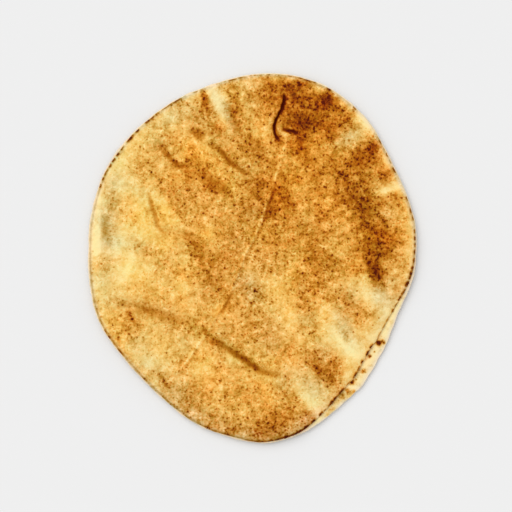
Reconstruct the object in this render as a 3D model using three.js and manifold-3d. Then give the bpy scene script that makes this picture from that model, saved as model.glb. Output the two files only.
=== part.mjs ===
// Pita bread: one large, thin, closed flatbread, puffed and creased by the oven.
//
// Millimetres, +Z up. The origin lies under the middle of the bread, on the surface it rests on.
// The bread is one closed solid. Its lower leaf reaches the outline. Its upper leaf ends at the
// seam, a low step just inside the outline that draws back at the lower right.

import * as THREE from 'three';
import { mergeVertices } from 'three/addons/utils/BufferGeometryUtils.js';
import Module from 'manifold-3d';

// ---- Outline, seen from above --------------------------------------------------------------

const HALF_WIDTH = 130.5; // of the ellipse that the outline starts from, along X
const HALF_LENGTH = 148.5; // the same along Y

// Where the outline leaves the ellipse: outward reach in mm at an angle from +X, in degrees.
const OUTLINE_SWELLS = [
  { angle: 10, reach: 3.2, spread: 13 },
  { angle: 63, reach: 5.2, spread: 20 },
  { angle: 104, reach: -4.6, spread: 16 },
  { angle: 150, reach: 2.2, spread: 15 },
  { angle: 172, reach: 1.4, spread: 10 },
  { angle: 203, reach: 1.8, spread: 12 },
  { angle: 235, reach: -9.5, spread: 24 },
  { angle: 303, reach: -3, spread: 12 },
  { angle: 331, reach: -8, spread: 22 },
  { angle: 48, reach: 1.2, spread: 7 },
  { angle: 126, reach: -2, spread: 13 },
  { angle: 175, reach: -0.9, spread: 7 },
  { angle: 213, reach: -1.4, spread: 14 },
  { angle: 262, reach: -1.5, spread: 9 },
  { angle: 274, reach: 1.1, spread: 7 },
  { angle: 295, reach: -1, spread: 7 },
  { angle: 329, reach: 1.1, spread: 7 },
  { angle: 357, reach: 0.9, spread: 6 },
  { angle: 311, reach: 1.2, spread: 3 },
  { angle: 351, reach: 1.5, spread: 7 },
  { angle: 23, reach: 0.6, spread: 8 },
];

// ---- Seam ----------------------------------------------------------------------------------

const SEAM_INSET = 1.1; // seam to outline, for most of the way round
// Where the seam lies further in, described as in the list above.
const SEAM_INSET_SWELLS = [
  { angle: 142, reach: 1, spread: 6 },
  { angle: 350, reach: 1.5, spread: 8 },
  { angle: 284, reach: 0.5, spread: 14 },
];
const SEAM_DRAWBACK = 9.1; // how much further in the seam lies at its deepest
const DRAWBACK_ANGLE = -43; // direction of the deepest point, in degrees
const DRAWBACK_SPREAD = 33; // degrees to either side over which the drawback runs out
const DRAWBACK_POWER = 1.2;

// ---- Section -------------------------------------------------------------------------------

const RIM_LIFT = 2; // underside of the rim above the table, on average
const RIM_WAVES = [
  { count: 2, swing: 0.8, crest: 35 }, // crests round the rim, half their height, and the first's angle
  { count: 5, swing: 0.45, crest: 64 },
];
const LOWER_LEAF = 1.7; // thickness of the lower leaf at the outline
const SEAM_STEP = 1.3; // rise from the lower leaf to the edge of the upper leaf
const SEAM_SLOPE = 0.25; // how much further out the seam's foot lies than its top
const CROWN = 7.6; // height of the top away from puffs and hollows
const SHOULDER_POWER = 10; // a higher power makes the shoulder above the rim tighter
const FLAT_SHARE = 0.84; // share of the underside's radius that lies on the table
const EDGE_ROUNDING = 0.5; // how far the outline's edges are drawn in above and below

// ---- Broad relief of the top ---------------------------------------------------------------

// Puffs rise and hollows sink. length, width and turn describe an ellipse in plan.
const PUFFS = [
  { x: -42, y: 84, length: 66, width: 40, turn: 38, rise: 2.2 },
  { x: -92, y: 32, length: 56, width: 44, turn: 80, rise: 1.7 },
  { x: -84, y: -14, length: 64, width: 40, turn: 0, rise: 1.9 },
  { x: -62, y: -82, length: 70, width: 40, turn: -32, rise: 2.4 },
  { x: -26, y: -36, length: 66, width: 50, turn: 20, rise: 1.7 },
  { x: -30, y: 28, length: 60, width: 56, turn: 60, rise: 1.8 },
  { x: 8, y: 122, length: 54, width: 34, turn: 90, rise: 2.1 },
  { x: 58, y: 118, length: 66, width: 44, turn: -35, rise: 3.2 },
  { x: 92, y: 80, length: 46, width: 32, turn: 50, rise: 2.4 },
  { x: 58, y: 34, length: 70, width: 58, turn: 40, rise: 2.3 },
  { x: 102, y: 6, length: 76, width: 40, turn: 80, rise: 2.2 },
  { x: 50, y: -24, length: 56, width: 40, turn: 0, rise: 1.8 },
  { x: 90, y: -48, length: 44, width: 28, turn: -40, rise: 2.1 },
  { x: 14, y: -62, length: 70, width: 42, turn: -12, rise: 2.2 },
  { x: 62, y: -92, length: 52, width: 34, turn: -52, rise: 2.7 },
  { x: 2, y: -120, length: 74, width: 36, turn: 0, rise: 2.5 },
];
const HOLLOWS = [
  { x: -5, y: -20, length: 28, width: 24, turn: 0, rise: -1.3 },
  { x: -117, y: 22, length: 46, width: 12, turn: 88, rise: -1.1 },
  { x: -24, y: 118, length: 46, width: 13, turn: -58, rise: -1.4 },
  { x: -68, y: 109, length: 34, width: 14, turn: 35, rise: -1.1 },
  { x: -106, y: 60, length: 18, width: 13, turn: 60, rise: -0.9 },
  { x: 84, y: 98, length: 36, width: 13, turn: 28, rise: -1.3 },
  { x: 111, y: 56, length: 26, width: 10, turn: 12, rise: -0.9 },
  { x: 97, y: -31, length: 40, width: 14, turn: -36, rise: -1.3 },
  { x: 70, y: -60, length: 50, width: 20, turn: -54, rise: -1.6 },
  { x: 47, y: -109, length: 42, width: 15, turn: -54, rise: -1.5 },
  { x: -104, y: 10, length: 22, width: 12, turn: 0, rise: -0.9 },
];
const RELIEF_EDGE_POWER = 14; // a higher power carries puffs and hollows closer to the seam

// ---- Creases -------------------------------------------------------------------------------

// Each follows a route across the top. A crease is cut in by its depth, and a ridge or the lip
// of a fold stands up by its height.
const CREASES = [
  {
    name: 'pinch fold',
    route: [[26.2, 130], [26.2, 125], [24.2, 119], [18.9, 108], [18.2, 102], [19, 98], [21, 95]],
    width: 3,
    depth: 2.2,
  },
  {
    name: 'side nick',
    route: [[24.5, 102.3], [28, 101.8], [32, 101], [37.5, 99.8]],
    width: 3,
    depth: 1.8,
  },
  {
    name: 'lower crease',
    route: [[-36, -61], [-28, -65], [-16, -74], [-2, -84], [10, -91], [24, -94]],
    width: 6,
    depth: 1.6,
  },
  {
    name: 'left crease',
    route: [[-107, -36], [-96, -39], [-83, -42], [-66, -47], [-48, -54]],
    width: 8,
    depth: 1.6,
  },
  {
    name: 'upper crease',
    route: [[-50, 103], [-38, 94], [-25, 86], [-14, 74], [-1, 67]],
    width: 5.5,
    depth: 1.5,
  },
  {
    name: 'upper left crease',
    route: [[-72, 91], [-68, 84], [-58, 74], [-46, 67], [-31, 60], [-17, 52]],
    width: 5.5,
    depth: 1.3,
  },
  {
    name: 'short crease',
    route: [[-81.5, 51], [-79.5, 40], [-74, 25], [-56, 19], [-44, 9], [-38, -2]],
    width: 5,
    depth: 1.1,
  },
];
const RIDGES = [
  {
    name: 'long ridge',
    route: [[29, 98], [21, 71], [11, 41], [0.5, 13], [-12, -16], [-26, -44], [-39, -64], [-61, -93]],
    width: 4,
    height: 1,
  },
  { name: 'right lip', route: [[32, 134], [32, 122], [27, 112], [23, 103.5]], width: 8, height: 1.3 },
  { name: 'left lip', route: [[20, 132], [20, 120], [14, 110], [12, 100]], width: 7, height: 0.9 },
];
const CREASE_CORNERS = 8; // of the ellipse that is swept along a crease
const CREASE_STEP = 7; // between two such ellipses
const CREASE_TAPER = 0.6; // a lower power keeps the full width closer to the ends

// ---- Fineness of the mesh ------------------------------------------------------------------

const TOP_RINGS = 28; // ring number k has six times k corners
const UNDERSIDE_RINGS = [
  { share: 0.95, corners: 96 },
  { share: 0.9, corners: 84 },
  { share: FLAT_SHARE, corners: 72 },
  { share: 0.45, corners: 24 },
];

// ---- Form ----------------------------------------------------------------------------------

/** Distance from the origin to the outline in a direction given in radians. */
function outlineRadius(direction) {
  const along = HALF_LENGTH * Math.cos(direction);
  const across = HALF_WIDTH * Math.sin(direction);
  const ellipse = (HALF_WIDTH * HALF_LENGTH) / Math.hypot(along, across);
  return ellipse + swellSum(OUTLINE_SWELLS, direction);
}

/** Sum of swells at a direction. */
function swellSum(swells, direction) {
  let sum = 0;
  for (const { angle, reach, spread } of swells) {
    sum += reach * Math.exp(-((degreesBetween(direction, angle) / spread) ** 2));
  }
  return sum;
}

/** Degrees from an angle in degrees to a direction in radians, the short way round. */
function degreesBetween(direction, angle) {
  const turn = THREE.MathUtils.radToDeg(direction) - angle;
  return THREE.MathUtils.euclideanModulo(turn + 180, 360) - 180;
}

/** Distance from the origin to the edge of the upper leaf. */
function seamRadius(direction) {
  const away = Math.abs(degreesBetween(direction, DRAWBACK_ANGLE)) / DRAWBACK_SPREAD;
  const drawback = Math.cos((Math.PI / 2) * Math.min(away, 1)) ** DRAWBACK_POWER;
  const inset = SEAM_INSET + swellSum(SEAM_INSET_SWELLS, direction);
  return outlineRadius(direction) - inset - SEAM_DRAWBACK * drawback;
}

/** Height of the rim's underside, which rises and falls round the bread. */
function rimLift(direction) {
  let lift = RIM_LIFT;
  for (const { count, swing, crest } of RIM_WAVES) {
    lift += swing * Math.cos(count * (direction - THREE.MathUtils.degToRad(crest)));
  }
  return lift;
}

/** Sum of the puffs and hollows at a place on the top. */
function broadRelief(x, y) {
  let sum = 0;
  for (const puff of [...PUFFS, ...HOLLOWS]) {
    const turn = THREE.MathUtils.degToRad(puff.turn);
    const dx = x - puff.x;
    const dy = y - puff.y;
    const along = (dx * Math.cos(turn) + dy * Math.sin(turn)) / (puff.length / 2);
    const across = (dy * Math.cos(turn) - dx * Math.sin(turn)) / (puff.width / 2);
    sum += puff.rise * Math.exp(-(along ** 2 + across ** 2));
  }
  return sum;
}

/** Height of the upper leaf, without its creases and ridges. */
function topHeight(x, y) {
  const direction = Math.atan2(y, x);
  const share = Math.min(Math.hypot(x, y) / seamRadius(direction), 1);
  const edge = rimLift(direction) + LOWER_LEAF + SEAM_STEP;
  const shoulder = Math.sqrt(1 - share ** SHOULDER_POWER);
  const relief = broadRelief(x, y) * (1 - share ** RELIEF_EDGE_POWER);
  return edge + (CROWN - edge) * shoulder + relief;
}

/** Height of the underside, flat on the table and lifted towards the rim. */
function undersideHeight(share, direction) {
  return rimLift(direction) * THREE.MathUtils.smoothstep(share, FLAT_SHARE, 1);
}

// ---- Mesh ----------------------------------------------------------------------------------

/** A ring of corners, from their number and a function from direction to position. */
function ring(corners, place) {
  return Array.from({ length: corners }, (_, i) => place((i / corners) * 2 * Math.PI));
}

/** A ring round the loaf, from its radius and height as functions of the direction. */
function loafRing(corners, radiusAt, heightAt) {
  return ring(corners, (direction) => {
    const x = radiusAt(direction) * Math.cos(direction);
    const y = radiusAt(direction) * Math.sin(direction);
    return [x, y, heightAt(direction)];
  });
}

/** The rings from the middle of the top out to the edge of the upper leaf. */
function topRings() {
  const rings = [[[0, 0, topHeight(0, 0)]]];
  for (let k = 1; k <= TOP_RINGS; k += 1) {
    const share = k / TOP_RINGS;
    rings.push(ring(6 * k, (direction) => {
      const x = share * seamRadius(direction) * Math.cos(direction);
      const y = share * seamRadius(direction) * Math.sin(direction);
      return [x, y, topHeight(x, y)];
    }));
  }
  return rings;
}

/** The rings from the foot of the seam over the edge of the lower leaf. */
function rimRings() {
  const corners = 6 * TOP_RINGS;
  const seamFoot = (direction) => seamRadius(direction) + SEAM_SLOPE;
  const drawnIn = (direction) => outlineRadius(direction) - EDGE_ROUNDING;
  const leafTop = (direction) => rimLift(direction) + LOWER_LEAF;
  const leafMiddle = (direction) => rimLift(direction) + LOWER_LEAF / 2;
  return [
    loafRing(corners, seamFoot, leafTop),
    loafRing(corners, drawnIn, leafTop),
    loafRing(corners, outlineRadius, leafMiddle),
    loafRing(corners, drawnIn, rimLift),
  ];
}

/** The rings from the rim's underside to the middle of the bread. */
function undersideRings() {
  const rings = UNDERSIDE_RINGS.map(({ share, corners }) => {
    const radiusAt = (direction) => share * outlineRadius(direction);
    const heightAt = (direction) => undersideHeight(share, direction);
    return loafRing(corners, radiusAt, heightAt);
  });
  return [...rings, [[0, 0, 0]]];
}

/** Triangles between two neighbouring rings, which may differ in their number of corners. */
function stitch(first, firstStart, second, secondStart) {
  const faces = [];
  const a = (i) => firstStart + (i % first.length);
  const b = (j) => secondStart + (j % second.length);
  let i = 0;
  let j = 0;
  const firstSteps = first.length > 1 ? first.length : 0;
  const secondSteps = second.length > 1 ? second.length : 0;
  while (i < firstSteps || j < secondSteps) {
    const secondIsNext = i >= firstSteps || (j + 1) / secondSteps <= (i + 1) / firstSteps;
    if (j < secondSteps && secondIsNext) {
      faces.push(a(i), b(j), b(j + 1));
      j += 1;
    } else {
      faces.push(a(i), b(j), a(i + 1));
      i += 1;
    }
  }
  return faces;
}

/** A closed geometry from rings, of which the first and the last are single points. */
function geometryFromRings(rings) {
  const faces = [];
  let start = 0;
  for (let k = 1; k < rings.length; k += 1) {
    const next = start + rings[k - 1].length;
    faces.push(...stitch(rings[k - 1], start, rings[k], next));
    start = next;
  }
  const geometry = new THREE.BufferGeometry();
  geometry.setAttribute('position', new THREE.Float32BufferAttribute(rings.flat(2), 3));
  geometry.setIndex(faces);
  return geometry;
}

/** A closed spindle along a route on the top, half sunk into it. */
function spindle(route, width, height) {
  const curve = new THREE.CatmullRomCurve3(route.map(([x, y]) => new THREE.Vector3(x, y, 0)));
  const steps = Math.ceil(curve.getLength() / CREASE_STEP);
  const pointAt = (share) => {
    const point = curve.getPointAt(share);
    return [point.x, point.y, topHeight(point.x, point.y)];
  };
  const rings = [[pointAt(0)]];
  for (let step = 1; step < steps; step += 1) {
    const share = step / steps;
    const [x, y, z] = pointAt(share);
    const tangent = curve.getTangentAt(share);
    const taper = Math.sin(Math.PI * share) ** CREASE_TAPER;
    rings.push(ring(CREASE_CORNERS, (angle) => {
      const side = (taper * width * Math.cos(angle)) / 2;
      const up = taper * height * Math.sin(angle);
      return [x + side * tangent.y, y - side * tangent.x, z + up];
    }));
  }
  rings.push([pointAt(1)]);
  return geometryFromRings(rings);
}

// ---- Solid ---------------------------------------------------------------------------------

const wasm = await Module();
wasm.setup();

/** The manifold solid inside a closed geometry. */
function solid(geometry) {
  const merged = mergeVertices(geometry);
  return new wasm.Manifold(new wasm.Mesh({
    numProp: 3,
    vertProperties: Float32Array.from(merged.getAttribute('position').array),
    triVerts: Uint32Array.from(merged.getIndex().array),
  }));
}

/** The geometry of a manifold solid. */
function geometryOf(body) {
  const mesh = body.getMesh();
  const geometry = new THREE.BufferGeometry();
  geometry.setAttribute('position', new THREE.BufferAttribute(mesh.vertProperties, 3));
  geometry.setIndex(new THREE.BufferAttribute(mesh.triVerts, 1));
  return geometry;
}

/** The loaf with its ridges joined on and its creases cut in. */
function breadGeometry() {
  let bread = solid(geometryFromRings([...topRings(), ...rimRings(), ...undersideRings()]));
  for (const { route, width, height } of RIDGES) {
    bread = bread.add(solid(spindle(route, width, height)));
  }
  for (const { route, width, depth } of CREASES) {
    bread = bread.subtract(solid(spindle(route, width, depth)));
  }
  const geometry = geometryOf(bread);
  geometry.computeBoundingBox();
  const middle = geometry.boundingBox.getCenter(new THREE.Vector3());
  geometry.translate(-middle.x, -middle.y, -geometry.boundingBox.min.z);
  geometry.computeVertexNormals();
  return geometry;
}

const crust = new THREE.MeshStandardMaterial({ color: 0xdaa24e, roughness: 0.75, metalness: 0 });

const bread = new THREE.Mesh(breadGeometry(), crust);
bread.name = 'pita_bread';

const pita = new THREE.Group();
pita.add(bread);

export default pita;
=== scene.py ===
"""A large thin pita bread, closed and lying flat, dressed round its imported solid."""

import math

import bpy
import numpy as np
from bpy.props import FloatProperty, FloatVectorProperty, IntProperty, PointerProperty
from bpy.types import Operator, Panel, PropertyGroup
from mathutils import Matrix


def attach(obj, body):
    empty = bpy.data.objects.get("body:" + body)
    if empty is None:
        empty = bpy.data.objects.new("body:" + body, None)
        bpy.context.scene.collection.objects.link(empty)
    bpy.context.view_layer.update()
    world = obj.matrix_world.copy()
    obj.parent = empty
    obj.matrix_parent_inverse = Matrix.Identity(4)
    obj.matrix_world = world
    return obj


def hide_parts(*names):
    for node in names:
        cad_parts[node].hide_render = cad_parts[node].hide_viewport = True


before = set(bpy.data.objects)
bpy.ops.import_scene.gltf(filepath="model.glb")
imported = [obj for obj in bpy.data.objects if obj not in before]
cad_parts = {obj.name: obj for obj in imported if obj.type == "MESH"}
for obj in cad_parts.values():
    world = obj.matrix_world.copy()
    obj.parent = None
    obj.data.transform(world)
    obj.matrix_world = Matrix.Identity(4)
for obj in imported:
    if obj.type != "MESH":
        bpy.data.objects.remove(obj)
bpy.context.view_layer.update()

bl_info = {
    "name": "Pita bread",
    "version": (1, 0, 0),
    "blender": (4, 5, 0),
    "location": "View3D > Sidebar > Pita",
    "description": "Makes a large thin pita bread with toasted patches, blisters and a charred seam",
    "category": "Add Mesh",
}

NODE = "pita_bread"
BODY = "root"
MM = 0.001

# ---- Form, in millimetres and degrees, as in the solid --------------------------------------

HALF_WIDTH = 130.5
HALF_LENGTH = 148.5
# angle from +X, outward reach, spread
OUTLINE_SWELLS = [
    (10, 3.2, 13), (63, 5.2, 20), (104, -4.6, 16), (150, 2.2, 15), (172, 1.4, 10),
    (203, 1.8, 12), (235, -9.5, 24), (303, -3, 12), (331, -8, 22), (126, -2.0, 13),
    (213, -1.4, 14), (262, -1.5, 9), (48, 1.2, 7), (175, -0.9, 7), (274, 1.1, 7),
    (295, -1.0, 7), (329, 1.1, 7), (357, 0.9, 6), (311, 1.2, 3), (351, 1.5, 7), (23, 0.6, 8),
]
SEAM_INSET = 1.1
# angle from +X, how much further in the seam lies, spread
SEAM_INSET_SWELLS = [(142, 1.0, 6), (350, 1.5, 8), (284, 0.5, 14)]
SEAM_DRAWBACK = 9.1
DRAWBACK_ANGLE = -43.0
DRAWBACK_SPREAD = 33.0
DRAWBACK_POWER = 1.2
RIM_LIFT = 2.0
# crests round the rim, half their height, angle of the first crest
RIM_WAVES = [(2, 0.8, 35), (5, 0.45, 64)]
LOWER_LEAF = 1.7
SEAM_STEP = 1.3
CROWN = 7.6
SHOULDER_POWER = 10
FLAT_SHARE = 0.84
EDGE_ROUNDING = 0.5
# Widths of the lower leaf's strip between which it turns from a mere edge to a strip that shows
NARROW = 2.6
WIDE = 4.2
# Radius at which noise round the rim is read, and first seeds of the seam's and the outline's
RIM_RADIUS = 140
SEAM_SEED = 61
OUTLINE_SEED = 71
# Where the lower leaf starts outside the seam, its least width and how far its strip bulges
SEAM_FOOT = 0.15
LEAST_LEDGE = 0.05
LEDGE_BULGE = 0.5
# The edge of the lower leaf: how far out (mm) and height as a share of the leaf's
EDGE_PROFILE = [(-0.2, 0.96), (-0.04, 0.76), (0.0, 0.45), (-0.12, 0.14), (-EDGE_ROUNDING, 0.0)]
# How closely the relief stays off the edge, and the edge's unevenness stays on it
RELIEF_EDGE_POWER = 14
ROUGH_EDGE_POWER = 12
# Small uneven relief of the thin skin: amount, cell and seed of each wave of noise
CRUMPLES = [(0.42, 17, 21), (0.24, 8, 22), (0.12, 4, 23), (0.05, 2.2, 24)]

# x, y, length, width, turn, rise
PUFFS = [
    (-42, 84, 66, 40, 38, 2.2), (-92, 32, 56, 44, 80, 1.7), (-84, -14, 64, 40, 0, 1.9),
    (-62, -82, 70, 40, -32, 2.4), (-26, -36, 66, 50, 20, 1.7), (-30, 28, 60, 56, 60, 1.8),
    (8, 122, 54, 34, 90, 2.1), (58, 118, 66, 44, -35, 3.2), (92, 80, 46, 32, 50, 2.4),
    (58, 34, 70, 58, 40, 2.3), (102, 6, 76, 40, 80, 2.2), (50, -24, 56, 40, 0, 1.8),
    (90, -48, 44, 28, -40, 2.1), (14, -62, 70, 42, -12, 2.2), (62, -92, 52, 34, -52, 2.7),
    (2, -120, 74, 36, 0, 2.5),
]
HOLLOWS = [
    (-5, -20, 28, 24, 0, -1.3), (-117, 22, 46, 12, 88, -1.1), (-24, 118, 46, 13, -58, -1.4),
    (-68, 109, 34, 14, 35, -1.1), (-106, 60, 18, 13, 60, -0.9), (84, 98, 36, 13, 28, -1.3),
    (111, 56, 26, 10, 12, -0.9), (97, -31, 40, 14, -36, -1.3), (70, -60, 50, 20, -54, -1.6),
    (47, -109, 42, 15, -54, -1.5), (-104, 10, 22, 12, 0, -0.9),
]

# route, width, depth, tone added in it, toasted crust and painted shade in the groove, how
# suddenly its ends fade
CREASES = {
    "pinch fold": (
        [(26.2, 129.5), (26.2, 125), (24.2, 119), (21.3, 113.5), (18.9, 108), (18.2, 102), (19, 97.8),
         (20.6, 95.4)],
        1.7, 1.9, 0.86, 0.10,
    ),
    "head of the pinch fold": ([(26.4, 131.5), (26.4, 126), (24.6, 119.5)], 3.4, 0.8, 0.55, 0.4),
    "foot of the pinch fold": (
        [(19.7, 109.5), (18.5, 105), (18.5, 101), (19.5, 97.5), (22, 94.5)],
        3.4, 0.6, 0.50, 0.3,
    ),
    "side nick": ([(24.5, 102.3), (28, 101.8), (32, 101), (37.5, 99.8)], 2.7, 1.4, 0.78, 0.4),
    "lower": (
        [(-32, -63.5), (-28, -65.5), (-23, -69), (-16, -74), (-8, -79.5), (-2, -83.5), (4, -87.5),
         (10, -91), (24, -94)],
        5.0, 1.3, 0.46, 0.5,
    ),
    "left": ([(-108, -36), (-96, -39), (-83, -42), (-66, -47), (-46, -54)], 8.0, 1.3, 0.22, 0.5),
    "upper": (
        [(-34, 91.5), (-30, 89), (-25, 86), (-20, 80), (-14, 74), (-1, 67)],
        4.4, 1.2, 0.40, 0.5,
    ),
    "upper, upper part": ([(-50, 103), (-44, 99), (-37, 94)], 6.0, 1.0, 0.26, 0.4),
    "upper left": ([(-72, 91), (-68, 84), (-63, 78), (-57, 74), (-50, 71)], 4.5, 1.1, 0.30, 0.4),
    "upper left band": ([(-56, 73), (-46, 67), (-31, 60), (-17, 52)], 9.0, 0.7, 0.16, 0.5),
    "short": (
        [(-82, 52), (-80, 46), (-79.5, 40), (-76.5, 35), (-75.5, 30), (-74, 25), (-70, 20)],
        3.0, 0.9, 0.30, 0.3,
    ),
    "short, lower part": ([(-74, 21), (-56, 19), (-47, 14), (-41, 5), (-38, -3)], 7.0, 0.7, 0.10, 0.5),
}
# route, width, height
RIDGES = {
    "long": (
        [(29, 98), (27.5, 92), (24, 80), (21, 71), (18.5, 63), (14.7, 52), (11, 41), (8.3, 32),
         (4, 20.5), (0.3, 13), (-5, 3), (-12, -16), (-17, -28), (-26, -44), (-39, -64),
         (-51, -81), (-61, -93)],
        2.4, 0.8,
    ),
    "right lip": ([(32, 134), (32, 122), (27, 112), (22.5, 103.5), (24, 97)], 7.5, 1.3),
    "left lip": ([(20, 132), (20, 120), (14, 110), (12, 100)], 7.0, 0.9),
}

# ---- Toast, as tone from 0, palest, to 1, darkest --------------------------------------------

TOAST_BASE = 0.395
# Marks in the tables of places: x, y, length, width, turn if any, and tone added in hundredths
TOAST_PATCHES = {
    "broad": [
        (25, 65, 190, 130, 30, 10), (-98, 5, 150, 90, 80, -20), (88, -62, 90, 60, -50, -10),
        (30, 120, 60, 40, 3), (50, 0, 120, 110, 7), (0, -45, 70, 60, 60, 6), (92, 40, 90, 60, 80, 5),
        (-75, -80, 60, 50, -30, -4), (-100, 85, 60, 30, 50, -6),
    ],
    "upper right": [
        (48, 118, 70, 40, -30, 22), (43, 107.5, 22, 10, -12, 36), (31, 106, 12, 7, 12),
        (38, 131, 34, 12, -15, 20), (47, 126, 8, 6, 12), (60, 127, 15, 8, 42, 42),
        (62, 107, 18, 14, 60, 18), (79, 111, 18, 10, -40, 20), (71, 106, 14, 10, 12),
        (40, 90, 26, 16, 20, 22), (8, 137, 18, 12, 20, 14), (26, 138, 12, 9, 12), (42, 140, 10, 7, 15),
        (22, 128, 8, 13, 90, 12), (28, 114, 12, 14, 6), (45, 82, 16, 12, 60, 12),
    ],
    "right, above the middle": [
        (90, 83, 32, 16, 52, 32), (95, 89, 12, 9, 50, 25), (105, 64, 14, 8, -50, 25),
        (116, 47, 14, 8, -60, 18), (72, 68, 14, 10, 22), (85, 78, 10, 8, 15), (78, 56, 18, 12, -20, 18),
        (93, 54, 20, 14, 15), (85, 62, 24, 20, 7), (94, 48, 10, 8, 15),
    ],
    "right": [
        (80, 45, 40, 14, -22, 22), (94, 28, 34, 24, -70, 25), (96, 8, 24, 14, -85, 25),
        (98, -12, 34, 16, -65, 35), (99, -11, 16, 11, -60, 25), (108, 15, 20, 18, 22),
        (55, 31, 14, 10, 15),
    ],
    "beside the long ridge": [
        (20, 47, 34, 16, 65, 28), (5, 60, 14, 10, 20, 28), (5, 52, 12, 9, 90, 13),
        (8, 79, 22, 8, -20, 15), (-5, 40, 15, 13, 12), (36, 62, 13, 6, 12), (52, 56, 14, 6, 90, 15),
        (13, 37, 13, 8, 14), (22, 35, 12, 10, 90, 10), (31, 46, 12, 8, 90, 15), (43, 26, 11, 10, 10),
        (50, 8, 24, 12, 90, 10), (59, -2, 24, 14, -10, 20), (-10, 15, 24, 20, 8), (-14, -8, 10, 10, 12),
        (-6, -20, 13, 10, 14), (4, -25, 9, 7, 12),
    ],
    "lower right": [
        (50, -28, 34, 26, 14), (73, -35, 20, 12, -20, 15), (87, -46, 24, 12, -50, 25),
        (60, -88, 34, 22, -50, 30), (52, -88, 24, 8, -45, 15), (26, -109, 12, 8, 12),
        (38, -112, 14, 10, 12), (44, -126, 16, 10, -20, 22), (45, -40, 12, 10, 12),
        (73, -60, 26, 6, -62, 14), (40, -100, 26, 12, 12),
    ],
    "bottom": [
        (16, -131, 40, 24, 26), (20, -134, 16, 10, 22), (-17, -134, 14, 10, 15), (-33, -133, 10, 8, 15),
        (-48, -109, 24, 18, -40, 20), (-69, -101, 14, 12, -60, 25), (-50, -118, 28, 13, -18, 15),
        (-30, -127, 22, 11, -15, 12), (20, -142, 30, 7, 10), (-32, -70, 10, 10, 10),
    ],
    "left": [
        (-100, -48, 34, 24, -35, 14), (-93, -54, 14, 10, 12), (-118, -4, 12, 26, 12),
        (-87, 4, 22, 12, -40, 10), (-64, -10, 20, 10, -15, 14), (-34, -14, 24, 34, 16),
        (-112, 48, 16, 7, 88, 15), (-67, 47, 10, 8, 14), (-26, 28, 12, 10, 12),
    ],
    "upper left": [
        (-50, 84, 30, 16, 30, 12), (-62, 92, 20, 12, 30, 12), (-77, 112, 12, 7, 35, 20),
        (-57, 124, 14, 7, 30, 20), (-40, 68, 16, 11, -30, 20), (-30, 60, 24, 9, -45, 15),
        (-22, 52, 10, 10, 12), (-50, 55, 22, 13, -30, 10), (-48, 78, 16, 8, -30, 14),
        (-88, 72, 14, 13, 10), (-43, 103, 9, 7, 15), (-24, 107, 10, 10, 10),
    ],
    "top": [
        (-15, 124, 34, 7, -86, 28), (12, 126, 34, 16, 90, 14), (0, 128, 9, 7, 15), (1, 87, 14, 12, 15),
        (-42, 121, 10, 8, 12), (-5, 92, 24, 18, 10), (-45, 107, 11, 9, 10), (-38, 100, 9, 9, 12),
        (-12, 106, 9, 17, 12), (-18, 138, 10, 9, 12), (10, 124, 9, 17, 12), (15, 141, 12, 7, 15),
        (32, 135, 13, 9, 12), (27, 123, 9, 7, 12), (41, 140, 6, 9, 20), (31, 93, 7, 11, 12),
        (39, 99, 6, 15, 15), (43, 109, 10, 8, 15), (62, 123, 20, 9, 14),
    ],
    "right, finer": [
        (67, 96, 10, 10, 13), (67, 80, 7, 10, 18), (47, 76, 9, 10, 12), (91, 59, 8, 11, 20),
        (114, 48, 13, 7, 12), (120, 31, 11, 8, 12), (110, 17, 13, 14, 14), (34, 31, 13, 13, 13),
        (50, 8, 8, 10, 12), (50, -12, 11, 8, -30, 15), (45, -37, 15, 8, 30, 12),
        (77, -58, 26, 8, -72, 22), (86, -51, 13, 10, 15), (98, 81, 9, 13, 12), (105, 2, 18, 10, 10),
        (71, -34, 15, 7, -25, 8), (62, 20, 12, 5, 12),
    ],
    "middle, finer": [
        (-5, 31, 13, 10, -30, 12), (-11, 20, 8, 10, 15), (-20, 3, 8, 8, 15), (-20, -30, 8, 16, 14),
        (5, -57, 14, 9, 10), (0, -108, 15, 15, 12), (14, -117, 9, 9, 10), (24, -123, 8, 8, 12),
        (30, -97, 10, 11, 13), (-10, -128, 13, 12, 10), (-32, -134, 9, 7, 12), (3, -87, 12, 5, -35, 10),
        (-19, -140, 10, 6, 12), (5, -24, 7, 6, 10),
    ],
    "left, finer": [
        (-64, 50, 26, 9, -53, 20), (-56, 38, 14, 12, -50, 14), (-47, 13, 19, 8, -35, 20),
        (-41, 2, 9, 10, 14), (-83, 7, 26, 9, -5, 16), (-74, -38, 24, 20, 14), (-88, -41, 16, 8, 10),
        (-112, -5, 26, 12, 11), (-113, 50, 7, 20, 10), (-118, 27, 9, 10, 12), (-87, 72, 11, 11, 12),
        (-72, 103, 15, 13, -30, 18), (-82, 88, 10, 7, 10), (-72, 62, 12, 9, -40, 12),
        (-60, 74, 9, 8, 10), (-97, -60, 15, 10, 10), (-90, -72, 12, 10, 7), (-64, -24, 9, 7, 10),
        (-97, -46, 9, 10, 10), (-103, 36, 26, 14, 10, 10), (-96, 24, 20, 10, 8), (-75, -40, 22, 26, 6),
    ],
}
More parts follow.
